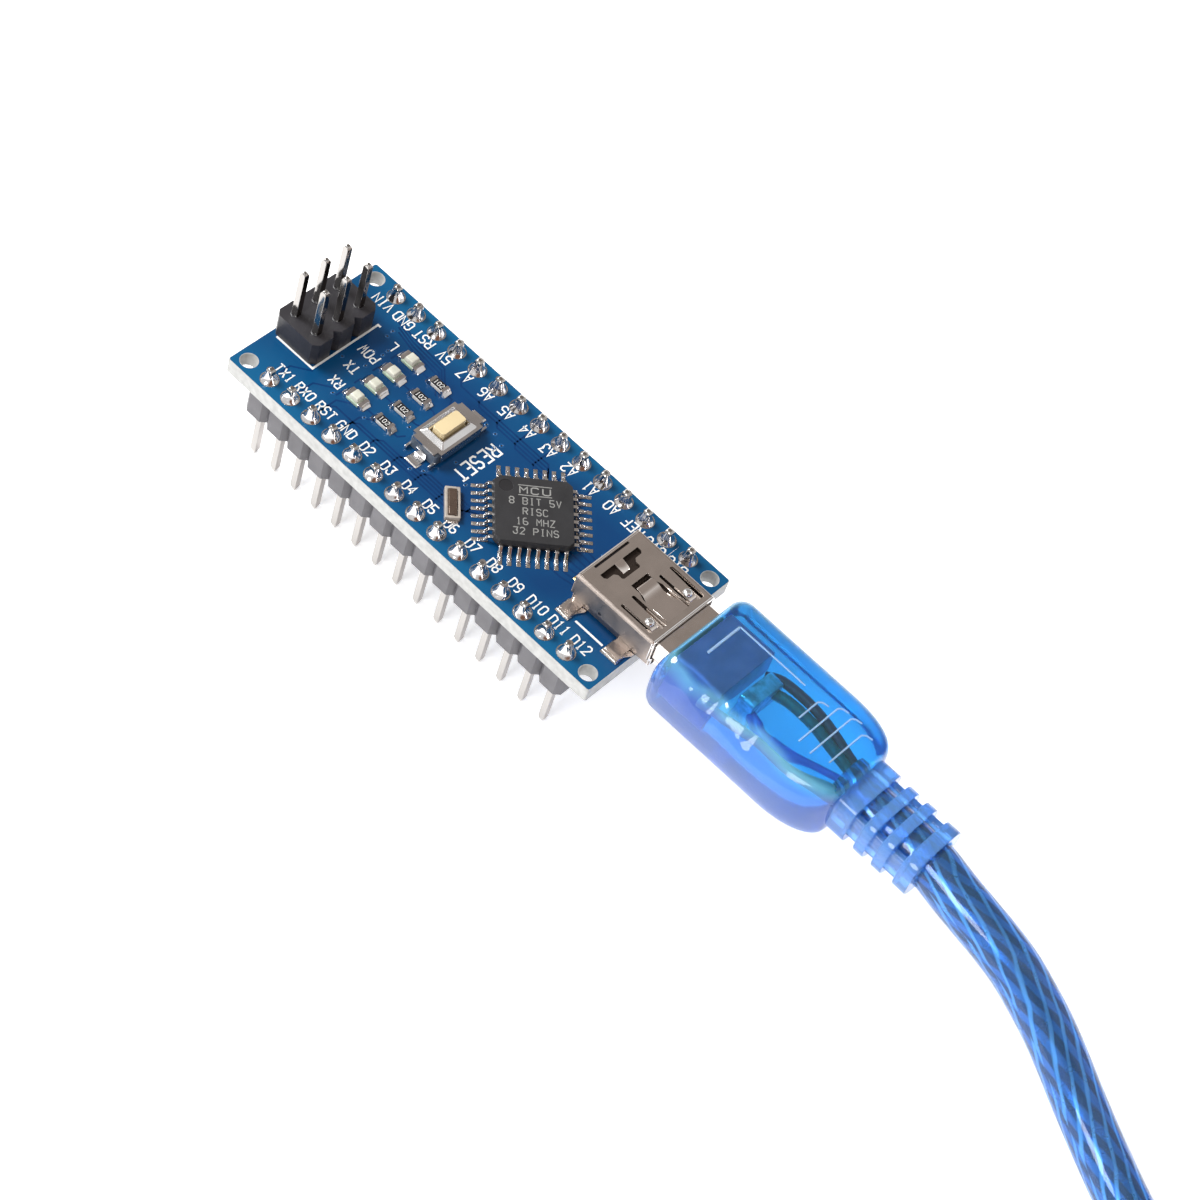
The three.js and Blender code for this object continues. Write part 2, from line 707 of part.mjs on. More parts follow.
// The tie goes round the coil and the turn above it.
function coilTie() {
  const sheet = 0.5;
  const halfWidth = CORD_DIAMETER / 2 + 0.3;
  const low = sheet + 0.02;
  const high = UPPER_TURN_Z + CORD_DIAMETER / 2 + 0.1;
  const outline = (grow) => [
    [-halfWidth - grow, low - grow],
    [halfWidth + grow, low - grow],
    [halfWidth + grow, high + grow],
    [-halfWidth - grow, high + grow],
  ];
  const shape = polygon(outline(sheet));
  shape.holes.push(new THREE.Path(polygon(outline(0)).getPoints()));
  return pulledY(shape, 5);
}
const tieAngle = -Math.PI / 4;
const tie = add("coil_tie", coilTie(), tieRubber, root);
tie.position.set(COIL_X + COIL_RADIUS * Math.cos(tieAngle), COIL_Y + COIL_RADIUS * Math.sin(tieAngle), 0);
tie.rotation.z = tieAngle;

// ---------------------------------------------------------------- USB-A plug at the far end

const usbA = new THREE.Group();
const usbAStart = COIL_X + COIL_RADIUS - LAST_BEND_RADIUS - LAST_STRAIGHT;
usbA.position.set(usbAStart, COIL_Y + LAST_BEND_RADIUS, USB_A_HEIGHT + USB_A_THICKNESS / 2);
usbA.rotation.z = Math.PI;
root.add(usbA);

const USB_A_INSIDE = 5; // of the shell, inside the moulding
const MOULD_A_END = USB_A_RELIEF + USB_A_MOULD;

function usbAMould() {
  const grip = pulledX(rounded(USB_A_WIDTH / 2, USB_A_THICKNESS / 2, 1.6), USB_A_RELIEF, MOULD_A_END);
  const relief = pulledX(regularShape(6, 12), 0, USB_A_RELIEF + 1);
  const rings = [0.6, 3, 5.4].map((x) => pulledX(rounded(3.7, 3.4, 1.4), x, x + 1.2));
  const room = box(MOULD_A_END - USB_A_INSIDE - 0.3, MOULD_A_END + 1, -6.15, 6.15, -2.4, 2.4);
  return cut(joined(grip, relief, ...rings), room);
}

function usbAShell() {
  const shape = rounded(6, 2.25, 0.4);
  shape.holes.push(new THREE.Path(rounded(5.7, 1.95, 0.2).getPoints(3)));
  const tubeA = pulledX(shape, MOULD_A_END - USB_A_INSIDE, MOULD_A_END + USB_A_SHELL);
  const locks = [-2.6, 2.6].map((y) => box(MOULD_A_END + 5, MOULD_A_END + 7.4, y - 1.2, y + 1.2, 1, 3));
  return cut(tubeA, ...locks);
}

function usbATongue() {
  const block0 = box(MOULD_A_END - USB_A_INSIDE + 0.3, MOULD_A_END, -5.6, 5.6, -1.85, 1.85);
  const plate = box(MOULD_A_END - 1, MOULD_A_END + USB_A_SHELL - 0.4, -5.6, 5.6, -1.85, 0.05);
  return joined(block0, plate);
}

add("usb_a_overmould", usbAMould(), blueMould, usbA);
add("usb_a_shell", usbAShell(), brightMetal, usbA);
add("usb_a_tongue", usbATongue(), whitePlastic, usbA);

export default root;
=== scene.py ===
import math
import random

import bmesh
import bpy
from mathutils import Matrix, Vector, noise
from mathutils.geometry import tessellate_polygon


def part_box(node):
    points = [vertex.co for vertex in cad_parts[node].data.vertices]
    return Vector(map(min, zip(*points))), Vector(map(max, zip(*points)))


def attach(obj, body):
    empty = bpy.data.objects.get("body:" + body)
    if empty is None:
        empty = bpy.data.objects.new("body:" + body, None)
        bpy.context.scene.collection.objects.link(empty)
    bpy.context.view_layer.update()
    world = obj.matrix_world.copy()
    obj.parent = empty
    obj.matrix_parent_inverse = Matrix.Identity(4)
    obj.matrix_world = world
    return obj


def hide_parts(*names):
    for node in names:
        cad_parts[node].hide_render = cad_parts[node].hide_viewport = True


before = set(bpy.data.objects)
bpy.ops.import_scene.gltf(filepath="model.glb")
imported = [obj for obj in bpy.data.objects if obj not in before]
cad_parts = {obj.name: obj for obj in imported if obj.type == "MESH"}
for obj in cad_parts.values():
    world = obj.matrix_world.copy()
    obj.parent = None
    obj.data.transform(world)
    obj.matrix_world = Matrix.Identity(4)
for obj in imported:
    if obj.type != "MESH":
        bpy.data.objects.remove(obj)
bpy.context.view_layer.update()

# Shapes are made in millimetres, in a frame whose origin is under the middle of the circuit board.
MM = 0.001
BOARD, BUTTON, CABLE = "board", "reset_button", "usb_cable"
board_low, board_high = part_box("circuit_board")
BOARD_X = (board_low.x + board_high.x) / 2 / MM
SHIFT = Vector((BOARD_X, 0, 0))


def extent(node):
    low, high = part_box(node)
    return low / MM - SHIFT, high / MM - SHIFT


def middle(node):
    low, high = extent(node)
    return (low + high) / 2


LOW, HIGH = extent("circuit_board")
LENGTH, WIDTH = HIGH.x - LOW.x, HIGH.y - LOW.y
TOP, BOTTOM = HIGH.z, LOW.z
PITCH = LENGTH / 17
ROW_Y = 3 * PITCH
ROW_X = [(i - 7) * PITCH for i in range(15)]
PIN = PITCH / 4
CORNER_X = LENGTH / 2 - PITCH / 2
ICSP_X = [PITCH / 2 - LENGTH / 2, 1.5 * PITCH - LENGTH / 2]
ICSP_Y = [-PITCH, 0, PITCH]
SEED = 7
rng = random.Random(SEED)
noise.seed_set(SEED)

# ---- camera, light and floor


def make_camera():
    data = bpy.data.cameras.new("camera")
    data.lens, data.sensor_width = 99.8, 36
    data.clip_start, data.clip_end = 0.01, 20
    camera = bpy.data.objects.new("camera", data)
    right = Vector((0.71070, 0.67134, 0.21025))
    up = Vector((-0.64787, 0.50812, 0.56752))
    back = Vector((0.27416, -0.53955, 0.79606))
    turn = Matrix((right, up, back)).transposed().to_4x4()
    camera.matrix_world = Matrix.Translation(Vector((90.96, -150.70, 230.25)) * MM) @ turn
    bpy.context.collection.objects.link(camera)
    bpy.context.scene.camera = camera


def soft_light(name, place, aim, size, power):
    data = bpy.data.lights.new(name, "AREA")
    data.shape = "DISK"
    data.size, data.energy = size, power
    light = bpy.data.objects.new(name, data)
    light.location = place
    light.rotation_mode = "QUATERNION"
    light.rotation_quaternion = (Vector(aim) - Vector(place)).to_track_quat("-Z", "Y")
    bpy.context.collection.objects.link(light)


make_camera()
soft_light("key", (-0.45, -0.1, 0.5), (0, 0, 0), 0.3, 5.5)
soft_light("fill", (0.0, -0.75, 0.55), (0.03, 0, 0), 0.36, 3)
bpy.context.scene.view_settings.view_transform = "Standard"

# ---- finishes

LOOKS = {}


# Gives a socket a value, or joins it to another node's output.
def feed(tree, socket, value):
    if isinstance(value, bpy.types.NodeSocket):
        tree.links.new(value, socket)
    else:
        socket.default_value = value


def add_node(tree, kind, **inputs):
    node = tree.nodes.new(kind)
    for name, value in inputs.items():
        feed(tree, node.inputs[name.replace("_", " ")], value)
    return node


# Where a point is in its object ("Object"), which way its surface faces ("Normal"), or its direction
# from the middle of the room ("Generated").
def coordinate(tree, kind="Object"):
    return tree.nodes.new("ShaderNodeTexCoord").outputs[kind]


def add_noise(tree, vector, size_mm, detail=2.0):
    texture = add_node(tree, "ShaderNodeTexNoise", Vector=vector, Scale=1 / (size_mm * MM), Detail=detail)
    return texture.outputs["Fac"]


def mixed(tree, factor, a, b):
    mix = tree.nodes.new("ShaderNodeMix")
    mix.data_type = "RGBA"
    feed(tree, mix.inputs["Factor"], factor)
    for name, colour in (("A", a), ("B", b)):
        feed(tree, mix.inputs[name], (*colour, 1) if isinstance(colour, (tuple, list)) else colour)
    return mix.outputs["Result"]


def ranged(tree, value, low, high, out_low=0, out_high=1, smooth=False):
    node = add_node(tree, "ShaderNodeMapRange", Value=value, From_Min=low, From_Max=high, To_Min=out_low,
                    To_Max=out_high)
    if smooth:
        node.interpolation_type = "SMOOTHSTEP"
    return node.outputs["Result"]


def maths(tree, operation, *inputs, clamp=False):
    node = tree.nodes.new("ShaderNodeMath")
    node.operation = operation
    node.use_clamp = clamp
    for socket, value in zip(node.inputs, inputs):
        feed(tree, socket, value)
    return node.outputs["Value"]


# One axis of the place in the object ("Object") or of the way its surface faces ("Normal").
def axis_of(tree, kind, axis):
    split = tree.nodes.new("ShaderNodeSeparateXYZ")
    tree.links.new(tree.nodes.new("ShaderNodeTexCoord").outputs[kind], split.inputs["Vector"])
    return split.outputs[axis]


# The room is white, with two dim warm patches of wall, which the metal mirrors: each is a direction,
# the cosines at which it starts and is full, and a tint.
DIM_PATCHES = [((-0.27, 0.54, 0.80), 0.62, 0.9, (0.38, 0.34, 0.315)),
               ((0.75, -0.3, 0.5), 0.8, 0.94, (0.3, 0.15, 0.1))]


def make_room():
    world = bpy.data.worlds.new("room")
    bpy.context.scene.world = world
    world.use_nodes = True
    tree = world.node_tree
    around = coordinate(tree, "Generated")
    colour = (1, 1, 1)
    for direction, start, full, tint in DIM_PATCHES:
        towards = tree.nodes.new("ShaderNodeVectorMath")
        towards.operation = "DOT_PRODUCT"
        towards.inputs[1].default_value = Vector(direction).normalized()
        tree.links.new(around, towards.inputs[0])
        share = ranged(tree, towards.outputs["Value"], start, full, smooth=True)
        colour = mixed(tree, share, colour, tint)
    background = tree.nodes["Background"]
    feed(tree, background.inputs["Color"], colour)
    feed(tree, background.inputs["Strength"], 0.85)


ROUGH_VARY = 0.15


# A finish whose colour, roughness and surface vary a little, as real ones do.
def look(name, slot, colour, rough, metal=0.0, mottle=0.08, mottle_mm=2.5, bump=0.0, bump_mm=0.3, **sockets):
    material = bpy.data.materials.new(name)
    material.use_nodes = True
    tree = material.node_tree
    shader = tree.nodes["Principled BSDF"]
    vector = coordinate(tree)
    patches = ranged(tree, add_noise(tree, vector, mottle_mm), 0.3, 0.7)
    dark = [c * (1 - mottle) for c in colour]
    light = [min(1, c * (1 + mottle)) for c in colour]
    feed(tree, shader.inputs["Base Color"], mixed(tree, patches, dark, light))
    fine = add_noise(tree, vector, mottle_mm * 0.45, 3)
    wear = ranged(tree, fine, 0.3, 0.7, rough * (1 - ROUGH_VARY), min(1, rough * (1 + ROUGH_VARY)))
    feed(tree, shader.inputs["Roughness"], wear)
    feed(tree, shader.inputs["Metallic"], metal)
    if bump:
        height = add_noise(tree, vector, bump_mm, 3)
        relief = add_node(tree, "ShaderNodeBump", Strength=bump, Distance=0.05 * MM, Height=height)
        feed(tree, shader.inputs["Normal"], relief.outputs["Normal"])
    for name_of_input, value in sockets.items():
        feed(tree, shader.inputs[name_of_input.replace("_", " ")], value)
    LOOKS[name] = (material, slot)


def tree_of(name):
    tree = LOOKS[name][0].node_tree
    return tree, tree.nodes["Principled BSDF"]


# Deep navy in the middle of the board, brighter azure towards its edges: a painted highlight along the edges,
# over a random cloudy tone.
def mask_look():
    look("solder_mask", "solder_mask", (0.01, 0.1, 0.3), 0.22, bump=0.1, bump_mm=1.2, Specular_IOR_Level=0.3)
    tree, shader = tree_of("solder_mask")
    # Painted highlight: the mask lightens towards the board's long edges.
    edge = ranged(tree, maths(tree, "ABSOLUTE", axis_of(tree, "Object", "Y")), 4.5 * MM, 8.9 * MM)
    cloud = ranged(tree, add_noise(tree, coordinate(tree), 9, 1), 0.35, 0.75, 0, 0.5)
    bright = maths(tree, "MULTIPLY_ADD", edge, 0.55, cloud, clamp=True)
    colour = mixed(tree, bright, (0.002, 0.037, 0.125), (0.004, 0.096, 0.215))
    feed(tree, shader.inputs["Base Color"], colour)


# Square pins: the faces turned along X get a darker colour than the faces turned along Y. This is painted
# shade, for the dark reflection on those sides.
def pin_look(name, bright, side_shade_colour):
    look(name, "pin_metal", bright, 0.12, 1.0, bump=0.06, bump_mm=0.6)
    tree, shader = tree_of(name)
    # Painted shade: faces turned along X darken towards the shade colour.
    painted_side_shade = ranged(tree, maths(tree, "ABSOLUTE", axis_of(tree, "Normal", "X")), 0.8, 0.95)
    feed(tree, shader.inputs["Base Color"], mixed(tree, painted_side_shade, bright, side_shade_colour))


def make_looks():
    mask_look()
    # Each pin finish: the colour of its faces turned along Y, then the painted shade of its faces turned
    # along X.
    pin_look("pin_metal", (0.43, 0.415, 0.4), (0.15, 0.12, 0.105))
    pin_look("pin_foot", (0.41, 0.395, 0.38), (0.35, 0.325, 0.31))
    look("mask_over_copper", "trace", (0.0015, 0.028, 0.105), 0.22, mottle=0.2, Specular_IOR_Level=0.3)
    look("via_ring", "trace", (0.004, 0.07, 0.2), 0.2, mottle=0.2)
    look("board_core", "board_core", (0.41, 0.415, 0.405), 0.5, mottle=0.12, mottle_mm=0.6, bump=0.3,
         bump_mm=0.15)
    look("silkscreen", "silkscreen", (0.74, 0.74, 0.72), 0.55, mottle=0.06, mottle_mm=0.5)
    look("solder", "solder", (0.66, 0.64, 0.64), 0.12, 1.0, mottle=0.1, mottle_mm=0.6, bump=0.14, bump_mm=0.5)
    look("rough_solder", "solder", (0.6, 0.56, 0.52), 0.26, 1.0, mottle=0.25, mottle_mm=0.4, bump=0.5,
         bump_mm=0.35)
    look("black_plastic", "black_plastic", (0.03, 0.029, 0.033), 0.35, mottle=0.15, bump=0.15, bump_mm=0.15,
         Specular_IOR_Level=0.35)
    look("strip_plastic", "black_plastic", (0.09, 0.088, 0.098), 0.45, mottle=0.15, bump=0.15, bump_mm=0.15)
    look("switch_plastic", "black_plastic", (0.09, 0.115, 0.15), 0.4, mottle=0.1)
    look("chip_plastic", "chip_plastic", (0.02, 0.02, 0.022), 0.5, mottle=0.12, bump=0.3, bump_mm=0.1,
         Specular_IOR_Level=0.4)
    # Glossy black for the chip's pin-1 dimple. As dark discs it is also painted shade in the via holes and
    # the socket's side holes.
    look("dimple_and_hole_shade", "chip_plastic", (0.02, 0.02, 0.022), 0.2, mottle=0.1)
    look("laser_mark", "chip_plastic", (0.24, 0.24, 0.23), 0.6, mottle=0.15, mottle_mm=0.3)
    look("lead_metal", "pin_metal", (0.68, 0.66, 0.64), 0.15, 1.0, mottle=0.06, mottle_mm=1.2, bump=0.06,
         bump_mm=0.6)
    look("gold_contact", "gold_contact", (0.83, 0.62, 0.28), 0.22, 1.0, mottle=0.08)
    look("socket_steel", "socket_steel", (0.74, 0.68, 0.635), 0.18, 1.0, mottle=0.05, mottle_mm=1.5,
         bump=0.03, bump_mm=0.4)
    # Painted highlight: the tongues get a lighter, glossier copy of the socket steel.
    look("leaf_steel_lit", "socket_steel", (0.78, 0.715, 0.67), 0.14, 1.0, mottle=0.05)
    # Painted shade: the socket's side walls get a darker copy of its steel.
    look("side_steel_shaded", "socket_steel", (0.36, 0.31, 0.28), 0.38, 1.0, mottle=0.1, bump=0.05)
    # Painted shade: a near-black finish for the sheet that darkens the inside of the socket.
    look("painted_socket_shade", "black_plastic", (0.02, 0.014, 0.011), 0.7, mottle=0.1, Specular_IOR_Level=0.1)
    look("switch_steel", "switch_steel", (0.7, 0.685, 0.68), 0.2, 1.0, mottle=0.06, bump=0.04)
    look("bright_metal", "bright_metal", (0.8, 0.8, 0.8), 0.16, 1.0, mottle=0.05, bump=0.1)
    look("crimp_metal", "bright_metal", (0.34, 0.43, 0.62), 0.35, 0.7, mottle=0.45, mottle_mm=0.7, bump=0.8,
         bump_mm=0.5)
    look("dark_can", "bright_metal", (0.36, 0.14, 0.38), 0.35, 0.5, mottle=0.15)
    look("button_plastic", "button_plastic", (0.6, 0.49, 0.29), 0.35, mottle=0.04, bump=0.05)
    look("led_lens", "led_plastic", (0.55, 0.55, 0.47), 0.25, mottle=0.12, mottle_mm=0.6)
    look("led_base", "led_plastic", (0.4, 0.5, 0.38), 0.4, mottle=0.15, mottle_mm=0.5)
    look("resistor_ceramic", "ceramic", (0.6, 0.58, 0.55), 0.4, mottle=0.06, mottle_mm=0.5)
    look("ceramic", "ceramic", (0.36, 0.32, 0.28), 0.35, mottle=0.12, mottle_mm=0.5, bump=0.1)
    look("resonator_lid", "lid_metal", (0.12, 0.085, 0.065), 0.28, 0.6, mottle=0.15, bump=0.2)
    look("resistor_glass", "chip_plastic", (0.012, 0.012, 0.014), 0.2, mottle=0.15, Coat_Weight=0.3)
    look("capacitor_ceramic", "capacitor_ceramic", (0.55, 0.4, 0.24), 0.45, mottle=0.15, bump=0.2)
    look("tantalum", "tantalum_yellow", (0.8, 0.42, 0.05), 0.4, mottle=0.08, bump=0.2)
    look("tantalum_band", "tantalum_yellow", (0.42, 0.13, 0.02), 0.45, mottle=0.1)
    look("wire_red", "wire_red", (0.42, 0.0, 0.03), 0.35, mottle=0.15)
    look("wire_green", "wire_green", (0.0, 0.09, 0.1), 0.35, mottle=0.15)
    look("wire_pink", "wire_red", (0.75, 0.4, 0.42), 0.35, mottle=0.15)
    look("wire_violet", "wire_red", (0.34, 0.13, 0.6), 0.35, mottle=0.15)
    look("tie_rubber", "tie_rubber", (0.018, 0.018, 0.02), 0.85, mottle=0.25, mottle_mm=0.6, bump=1.0,
         bump_mm=0.35)
    look("white_plastic", "white_plastic", (0.85, 0.85, 0.83), 0.35, mottle=0.04)
    look("studio_floor", "board_core", (0.93, 0.93, 0.93), 0.9, mottle=0.01, mottle_mm=60,
         Emission_Strength=0.55, Emission_Color=(1, 1, 1, 1))


# CLEAR_BLUE is the moulding's own blue. The flank blue is painted light for its sides.
CLEAR_BLUE, PAINTED_FLANK_BLUE = (0.24, 0.8, 0.98), (0.18, 0.35, 0.82)


# Clear blue moulding: light passes and is coloured by the depth of plastic it crosses.
def clear_look(name, slot, colour, rough, clear, density, absorb, bump=0.0):
    look(name, slot, colour, rough, mottle=0.04, mottle_mm=8, bump=bump, bump_mm=2.5, IOR=1.3,
         Coat_Weight=0.5, Transmission_Weight=clear)
    tree, _ = tree_of(name)
    volume = add_node(tree, "ShaderNodeVolumeAbsorption", Color=(*absorb, 1), Density=density)
    feed(tree, tree.nodes["Material Output"].inputs["Volume"], volume.outputs["Volume"])


# A plug's moulding, less clear down its sides than on its flat top. Its colour turns from a darker lavender
# blue on the sides to azure on top: painted light, giving the top its lit azure and the flanks a darker blue.
def mould_look(name, node):
    clear_look(name, "blue_mould", CLEAR_BLUE, 0.1, 0.84, 330, (0.04, 0.8, 0.98), 0.5)
    tree, shader = tree_of(name)
    height = axis_of(tree, "Object", "Z")
    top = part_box(node)[1].z
    clear = ranged(tree, height, top - 0.29 * MM, top - 0.02 * MM, 0.72, 0.96)
    feed(tree, shader.inputs["Transmission Weight"], clear)
    # Painted light: the colour turns from the flanks' darker lavender to the lit top's azure with height.
    painted_top_share = ranged(tree, height, top - 1.14 * MM, top - 0.14 * MM)
    feed(tree, shader.inputs["Base Color"], mixed(tree, painted_top_share, PAINTED_FLANK_BLUE, CLEAR_BLUE))


def braid_look():
    look("braid", "braid", (0.05, 0.09, 0.2), 0.3, 0.7)
    tree, shader = tree_of("braid")
    around = tree.nodes.new("ShaderNodeUVMap").outputs["UV"]
    strands = []
    for turn in (0.62, -0.56):
        place = add_node(tree, "ShaderNodeMapping", Vector=around, Rotation=(0, 0, turn), Scale=(0.4, 1, 1))
        wave = add_node(tree, "ShaderNodeTexWave", Vector=place.outputs["Vector"], Scale=0.32, Distortion=4.0,
                        Detail=2.0)
        wave.bands_direction = "Y"
        strands.append(wave.outputs["Fac"])
    first = mixed(tree, ranged(tree, strands[0], 0.35, 0.75), (0.006, 0.022, 0.12), (0.08, 0.24, 0.52))
    second = mixed(tree, ranged(tree, strands[1], 0.7, 0.95, 0, 0.8), first, (0.75, 0.85, 0.98))
    feed(tree, shader.inputs["Base Color"], second)


make_room()
make_looks()
mould_look("blue_mould", "mini_plug_overmould")
mould_look("far_mould", "usb_a_overmould")
clear_look("milky_mould", "blue_mould", (0.22, 0.52, 1.0), 0.12, 0.72, 240, (0.06, 0.62, 0.98), 0.5)
# Painted highlight: the ribs get a paler, less clear copy of the mould's blue, and a rougher surface.
clear_look("rib_highlight_blue", "blue_mould", (0.5, 0.72, 1.0), 0.2, 0.6, 200, (0.1, 0.65, 1.0))
clear_look("blue_jacket", "blue_jacket", (0.18, 0.52, 0.92), 0.06, 0.9, 600, (0.04, 0.6, 0.93))
braid_look()

# ---- shapes: (vertices, faces) in millimetres


def to_bmesh(shape):
    mesh = bmesh.new()
    vertices = [mesh.verts.new(v) for v in shape[0]]
    for face in shape[1]:
        if len(set(face)) > 2:
            mesh.faces.new([vertices[i] for i in face])
    bmesh.ops.recalc_face_normals(mesh, faces=mesh.faces)
    return mesh


def from_bmesh(mesh):
    mesh.verts.ensure_lookup_table()
    mesh.verts.index_update()
    shape = [v.co.copy() for v in mesh.verts], [[v.index for v in f.verts] for f in mesh.faces]
    mesh.free()
    return shape


# Several shapes as one.
def merged(*shapes):
    vertices, faces = [], []
    for v, f in shapes:
        faces += [[i + len(vertices) for i in face] for face in f]
        vertices += [Vector(p) for p in v]
    return vertices, faces


def moved(shape, x=0.0, y=0.0, z=0.0, turn=0.0, matrix=None):
    matrix = matrix or Matrix.Translation((x, y, z)) @ Matrix.Rotation(turn, 4, "Z")
    return [matrix @ Vector(v) for v in shape[0]], shape[1]


CREASE = math.radians(30)


# Rounds every edge that is sharper than a crease.
def soften(shape, width, segments=2):
    mesh = to_bmesh(shape)
    bmesh.ops.remove_doubles(mesh, verts=mesh.verts, dist=1e-4)
    bmesh.ops.dissolve_limit(mesh, angle_limit=math.radians(1), verts=mesh.verts, edges=mesh.edges)
    sharp = [e for e in mesh.edges if e.is_manifold and e.calc_face_angle() > CREASE]
    bmesh.ops.bevel(mesh, geom=sharp, offset=width, offset_type="OFFSET", segments=segments, profile=0.5,
                    affect="EDGES", clamp_overlap=True)
    return from_bmesh(mesh)


# A box between the given sides. In these helpers, soft is the radius that eases sharp edges.
def slab(x0, x1, y0, y1, z0, z1, soft=0.0):
    shape = plate([(x0, y0), (x1, y0), (x1, y1), (x0, y1)], z0, z1)
    return soften(shape, soft) if soft else shape


def block(length, width, z0, z1, x=0.0, y=0.0, soft=0.0):
    return slab(x - length / 2, x + length / 2, y - width / 2, y + width / 2, z0, z1, soft)


# A flat outline, less its holes, made thick from z0 to z1.
def plate(outline, z0, z1, holes=(), soft=0.0):
    loops = [list(outline)] + [list(h) for h in holes]
    flat = [p for loop in loops for p in loop]
    caps = tessellate_polygon([[Vector((*p, 0)) for p in loop] for loop in loops])
    count = len(flat)
    vertices = [Vector((*p, z0)) for p in flat] + [Vector((*p, z1)) for p in flat]
    faces = [list(reversed(c)) for c in caps] + [[i + count for i in c] for c in caps]
    start = 0
    for loop in loops:
        size = len(loop)
        for i in range(size):
            a, b = start + i, start + (i + 1) % size
            faces.append([a, b, b + count, a + count])
        start += size
    shape = from_bmesh(to_bmesh((vertices, faces)))
    return soften(shape, soft) if soft else shape


def circle(x, y, radius, sides):
    steps = [2 * math.pi * i / sides for i in range(sides)]
    return [(x + radius * math.cos(a), y + radius * math.sin(a)) for a in steps]


# The outline of a rectangle with round corners, with this many sides to each corner.
def rounded(x0, x1, y0, y1, corner, sides=4):
    points = []
    for cx, cy, start in ((x1, y1, 0), (x0, y1, 90), (x0, y0, 180), (x1, y0, 270)):
        for i in range(sides + 1):
            a = math.radians(start + 90 * i / sides)
            mx = cx - corner if cx == x1 else cx + corner
            my = cy - corner if cy == y1 else cy + corner
            points.append((mx + corner * math.cos(a), my + corner * math.sin(a)))
    return points


def centred(half_x, half_y, corner, sides=4):
    return rounded(-half_x, half_x, -half_y, half_y, corner, sides)


# A plate that stands across the cable: its outline is (y, z) and its thickness runs along x.
def across(outline, x0, x1, holes=(), soft=0.0, z=0.0):
    flat = plate(outline, x0, x1, holes, soft)
    return moved(([Vector((v[2], v[0], v[1])) for v in flat[0]], flat[1]), z=z)


# A block whose top is drawn in by taper on every side.
def tapered(length, width, z0, z1, taper, soft=0.05, x=0.0, y=0.0):
    vertices = []
    for z, inset in ((z0, 0), (z1, taper)):
        u, v = length / 2 - inset, width / 2 - inset
        vertices += [(x - u, y - v, z), (x + u, y - v, z), (x + u, y + v, z), (x - u, y + v, z)]
    faces = [[3, 2, 1, 0], [4, 5, 6, 7]] + [[i, (i + 1) % 4, (i + 1) % 4 + 4, i + 4] for i in range(4)]
    return soften((vertices, faces), soft)


# Rings of points joined into one skin: an open stack is capped at both ends, a closed one joins up.
def loft(rings, closed=False):
    size, count = len(rings[0]), len(rings)
    faces = []
    for r in range(count if closed else count - 1):
        here, there = r * size, (r + 1) % count * size
        for i in range(size):
            j = (i + 1) % size
            faces.append([here + i, here + j, there + j, there + i])
    if not closed:
        faces.append(list(range(size))[::-1])
        faces.append([(count - 1) * size + i for i in range(size)])
    return from_bmesh(to_bmesh(([Vector(p) for ring in rings for p in ring], faces)))


# A turned shape from its profile, a list of [radius, z].
def lathe(profile, sides):
    return loft([[(r * math.cos(2 * math.pi * i / sides), r * math.sin(2 * math.pi * i / sides), z)
                  for i in range(sides)] for r, z in profile])


# A round tube along a line in space.
def tube(points, radius, sides):
    points = [Vector(p) for p in points]
    rings, side = [], None
    for i, p in enumerate(points):
        ahead = (points[min(i + 1, len(points) - 1)] - points[max(i - 1, 0)]).normalized()
        side = side or ahead.cross((0, 0, 1)).normalized()
        side = (side - ahead * side.dot(ahead)).normalized()
        other = ahead.cross(side)
        rings.append([p + radius * (side * math.cos(a) + other * math.sin(a))
                      for a in (2 * math.pi * k / sides for k in range(sides))])
    return loft(rings)


# A flat strip that follows a line, with mitred bends.
def ribbon(points, width, z0, z1, closed=False):
    points = [Vector((p[0], p[1])) for p in points]
    count = len(points)
    left, right = [], []
    for i, p in enumerate(points):
        before = points[i - 1] if i or closed else None
        after = points[(i + 1) % count] if i < count - 1 or closed else None
        ways = [(b - a).normalized() for a, b in ((before, p), (p, after)) if a is not None and b is not None]
        normals = [Vector((-w.y, w.x)) for w in ways]
        normal = sum(normals, Vector((0, 0))).normalized()
        reach = width / 2 / max(0.55, normal.dot(normals[0]))
        left.append(p + normal * reach)
        right.append(p - normal * reach)
    vertices = [Vector((*q, z)) for z in (z0, z1) for side in (left, right) for q in side]
    faces = []
    for i in range(count if closed else count - 1):
        j = (i + 1) % count
        lo_l, lo_r, hi_l, hi_r = (k * count for k in range(4))
        faces += [[hi_l + i, hi_l + j, hi_r + j, hi_r + i], [lo_l + i, lo_r + i, lo_r + j, lo_l + j],
                  [lo_l + i, lo_l + j, hi_l + j, hi_l + i], [lo_r + i, hi_r + i, hi_r + j, lo_r + j]]
    if not closed:
        for i in (0, count - 1):
            faces.append([i, i + count, i + 3 * count, i + 2 * count])
    return from_bmesh(to_bmesh((vertices, faces)))


# A curve through the points, with this many steps between each two.
def smooth_line(points, steps):
    points = [Vector(p) for p in points]
    line = []
    for i in range(len(points) - 1):
        p0, p1 = points[max(i - 1, 0)], points[i]
        p2, p3 = points[i + 1], points[min(i + 2, len(points) - 1)]
        for k in range(steps):
            t = k / steps
            line.append(0.5 * (2 * p1 + (p2 - p0) * t + (2 * p0 - 5 * p1 + 4 * p2 - p3) * t * t
                               + (3 * p1 - p0 - 3 * p2 + p3) * t ** 3))
    return line + [points[-1]]


# Pushes a shape's points about by a little smooth noise.
def uneven(shape, amount, size_mm, seed):
    offset = Vector((seed * 7.3, seed * 3.1, seed * 5.7))
    return [Vector(v) + amount * noise.noise_vector(Vector(v) / size_mm + offset) for v in shape[0]], shape[1]


# ---- pieces


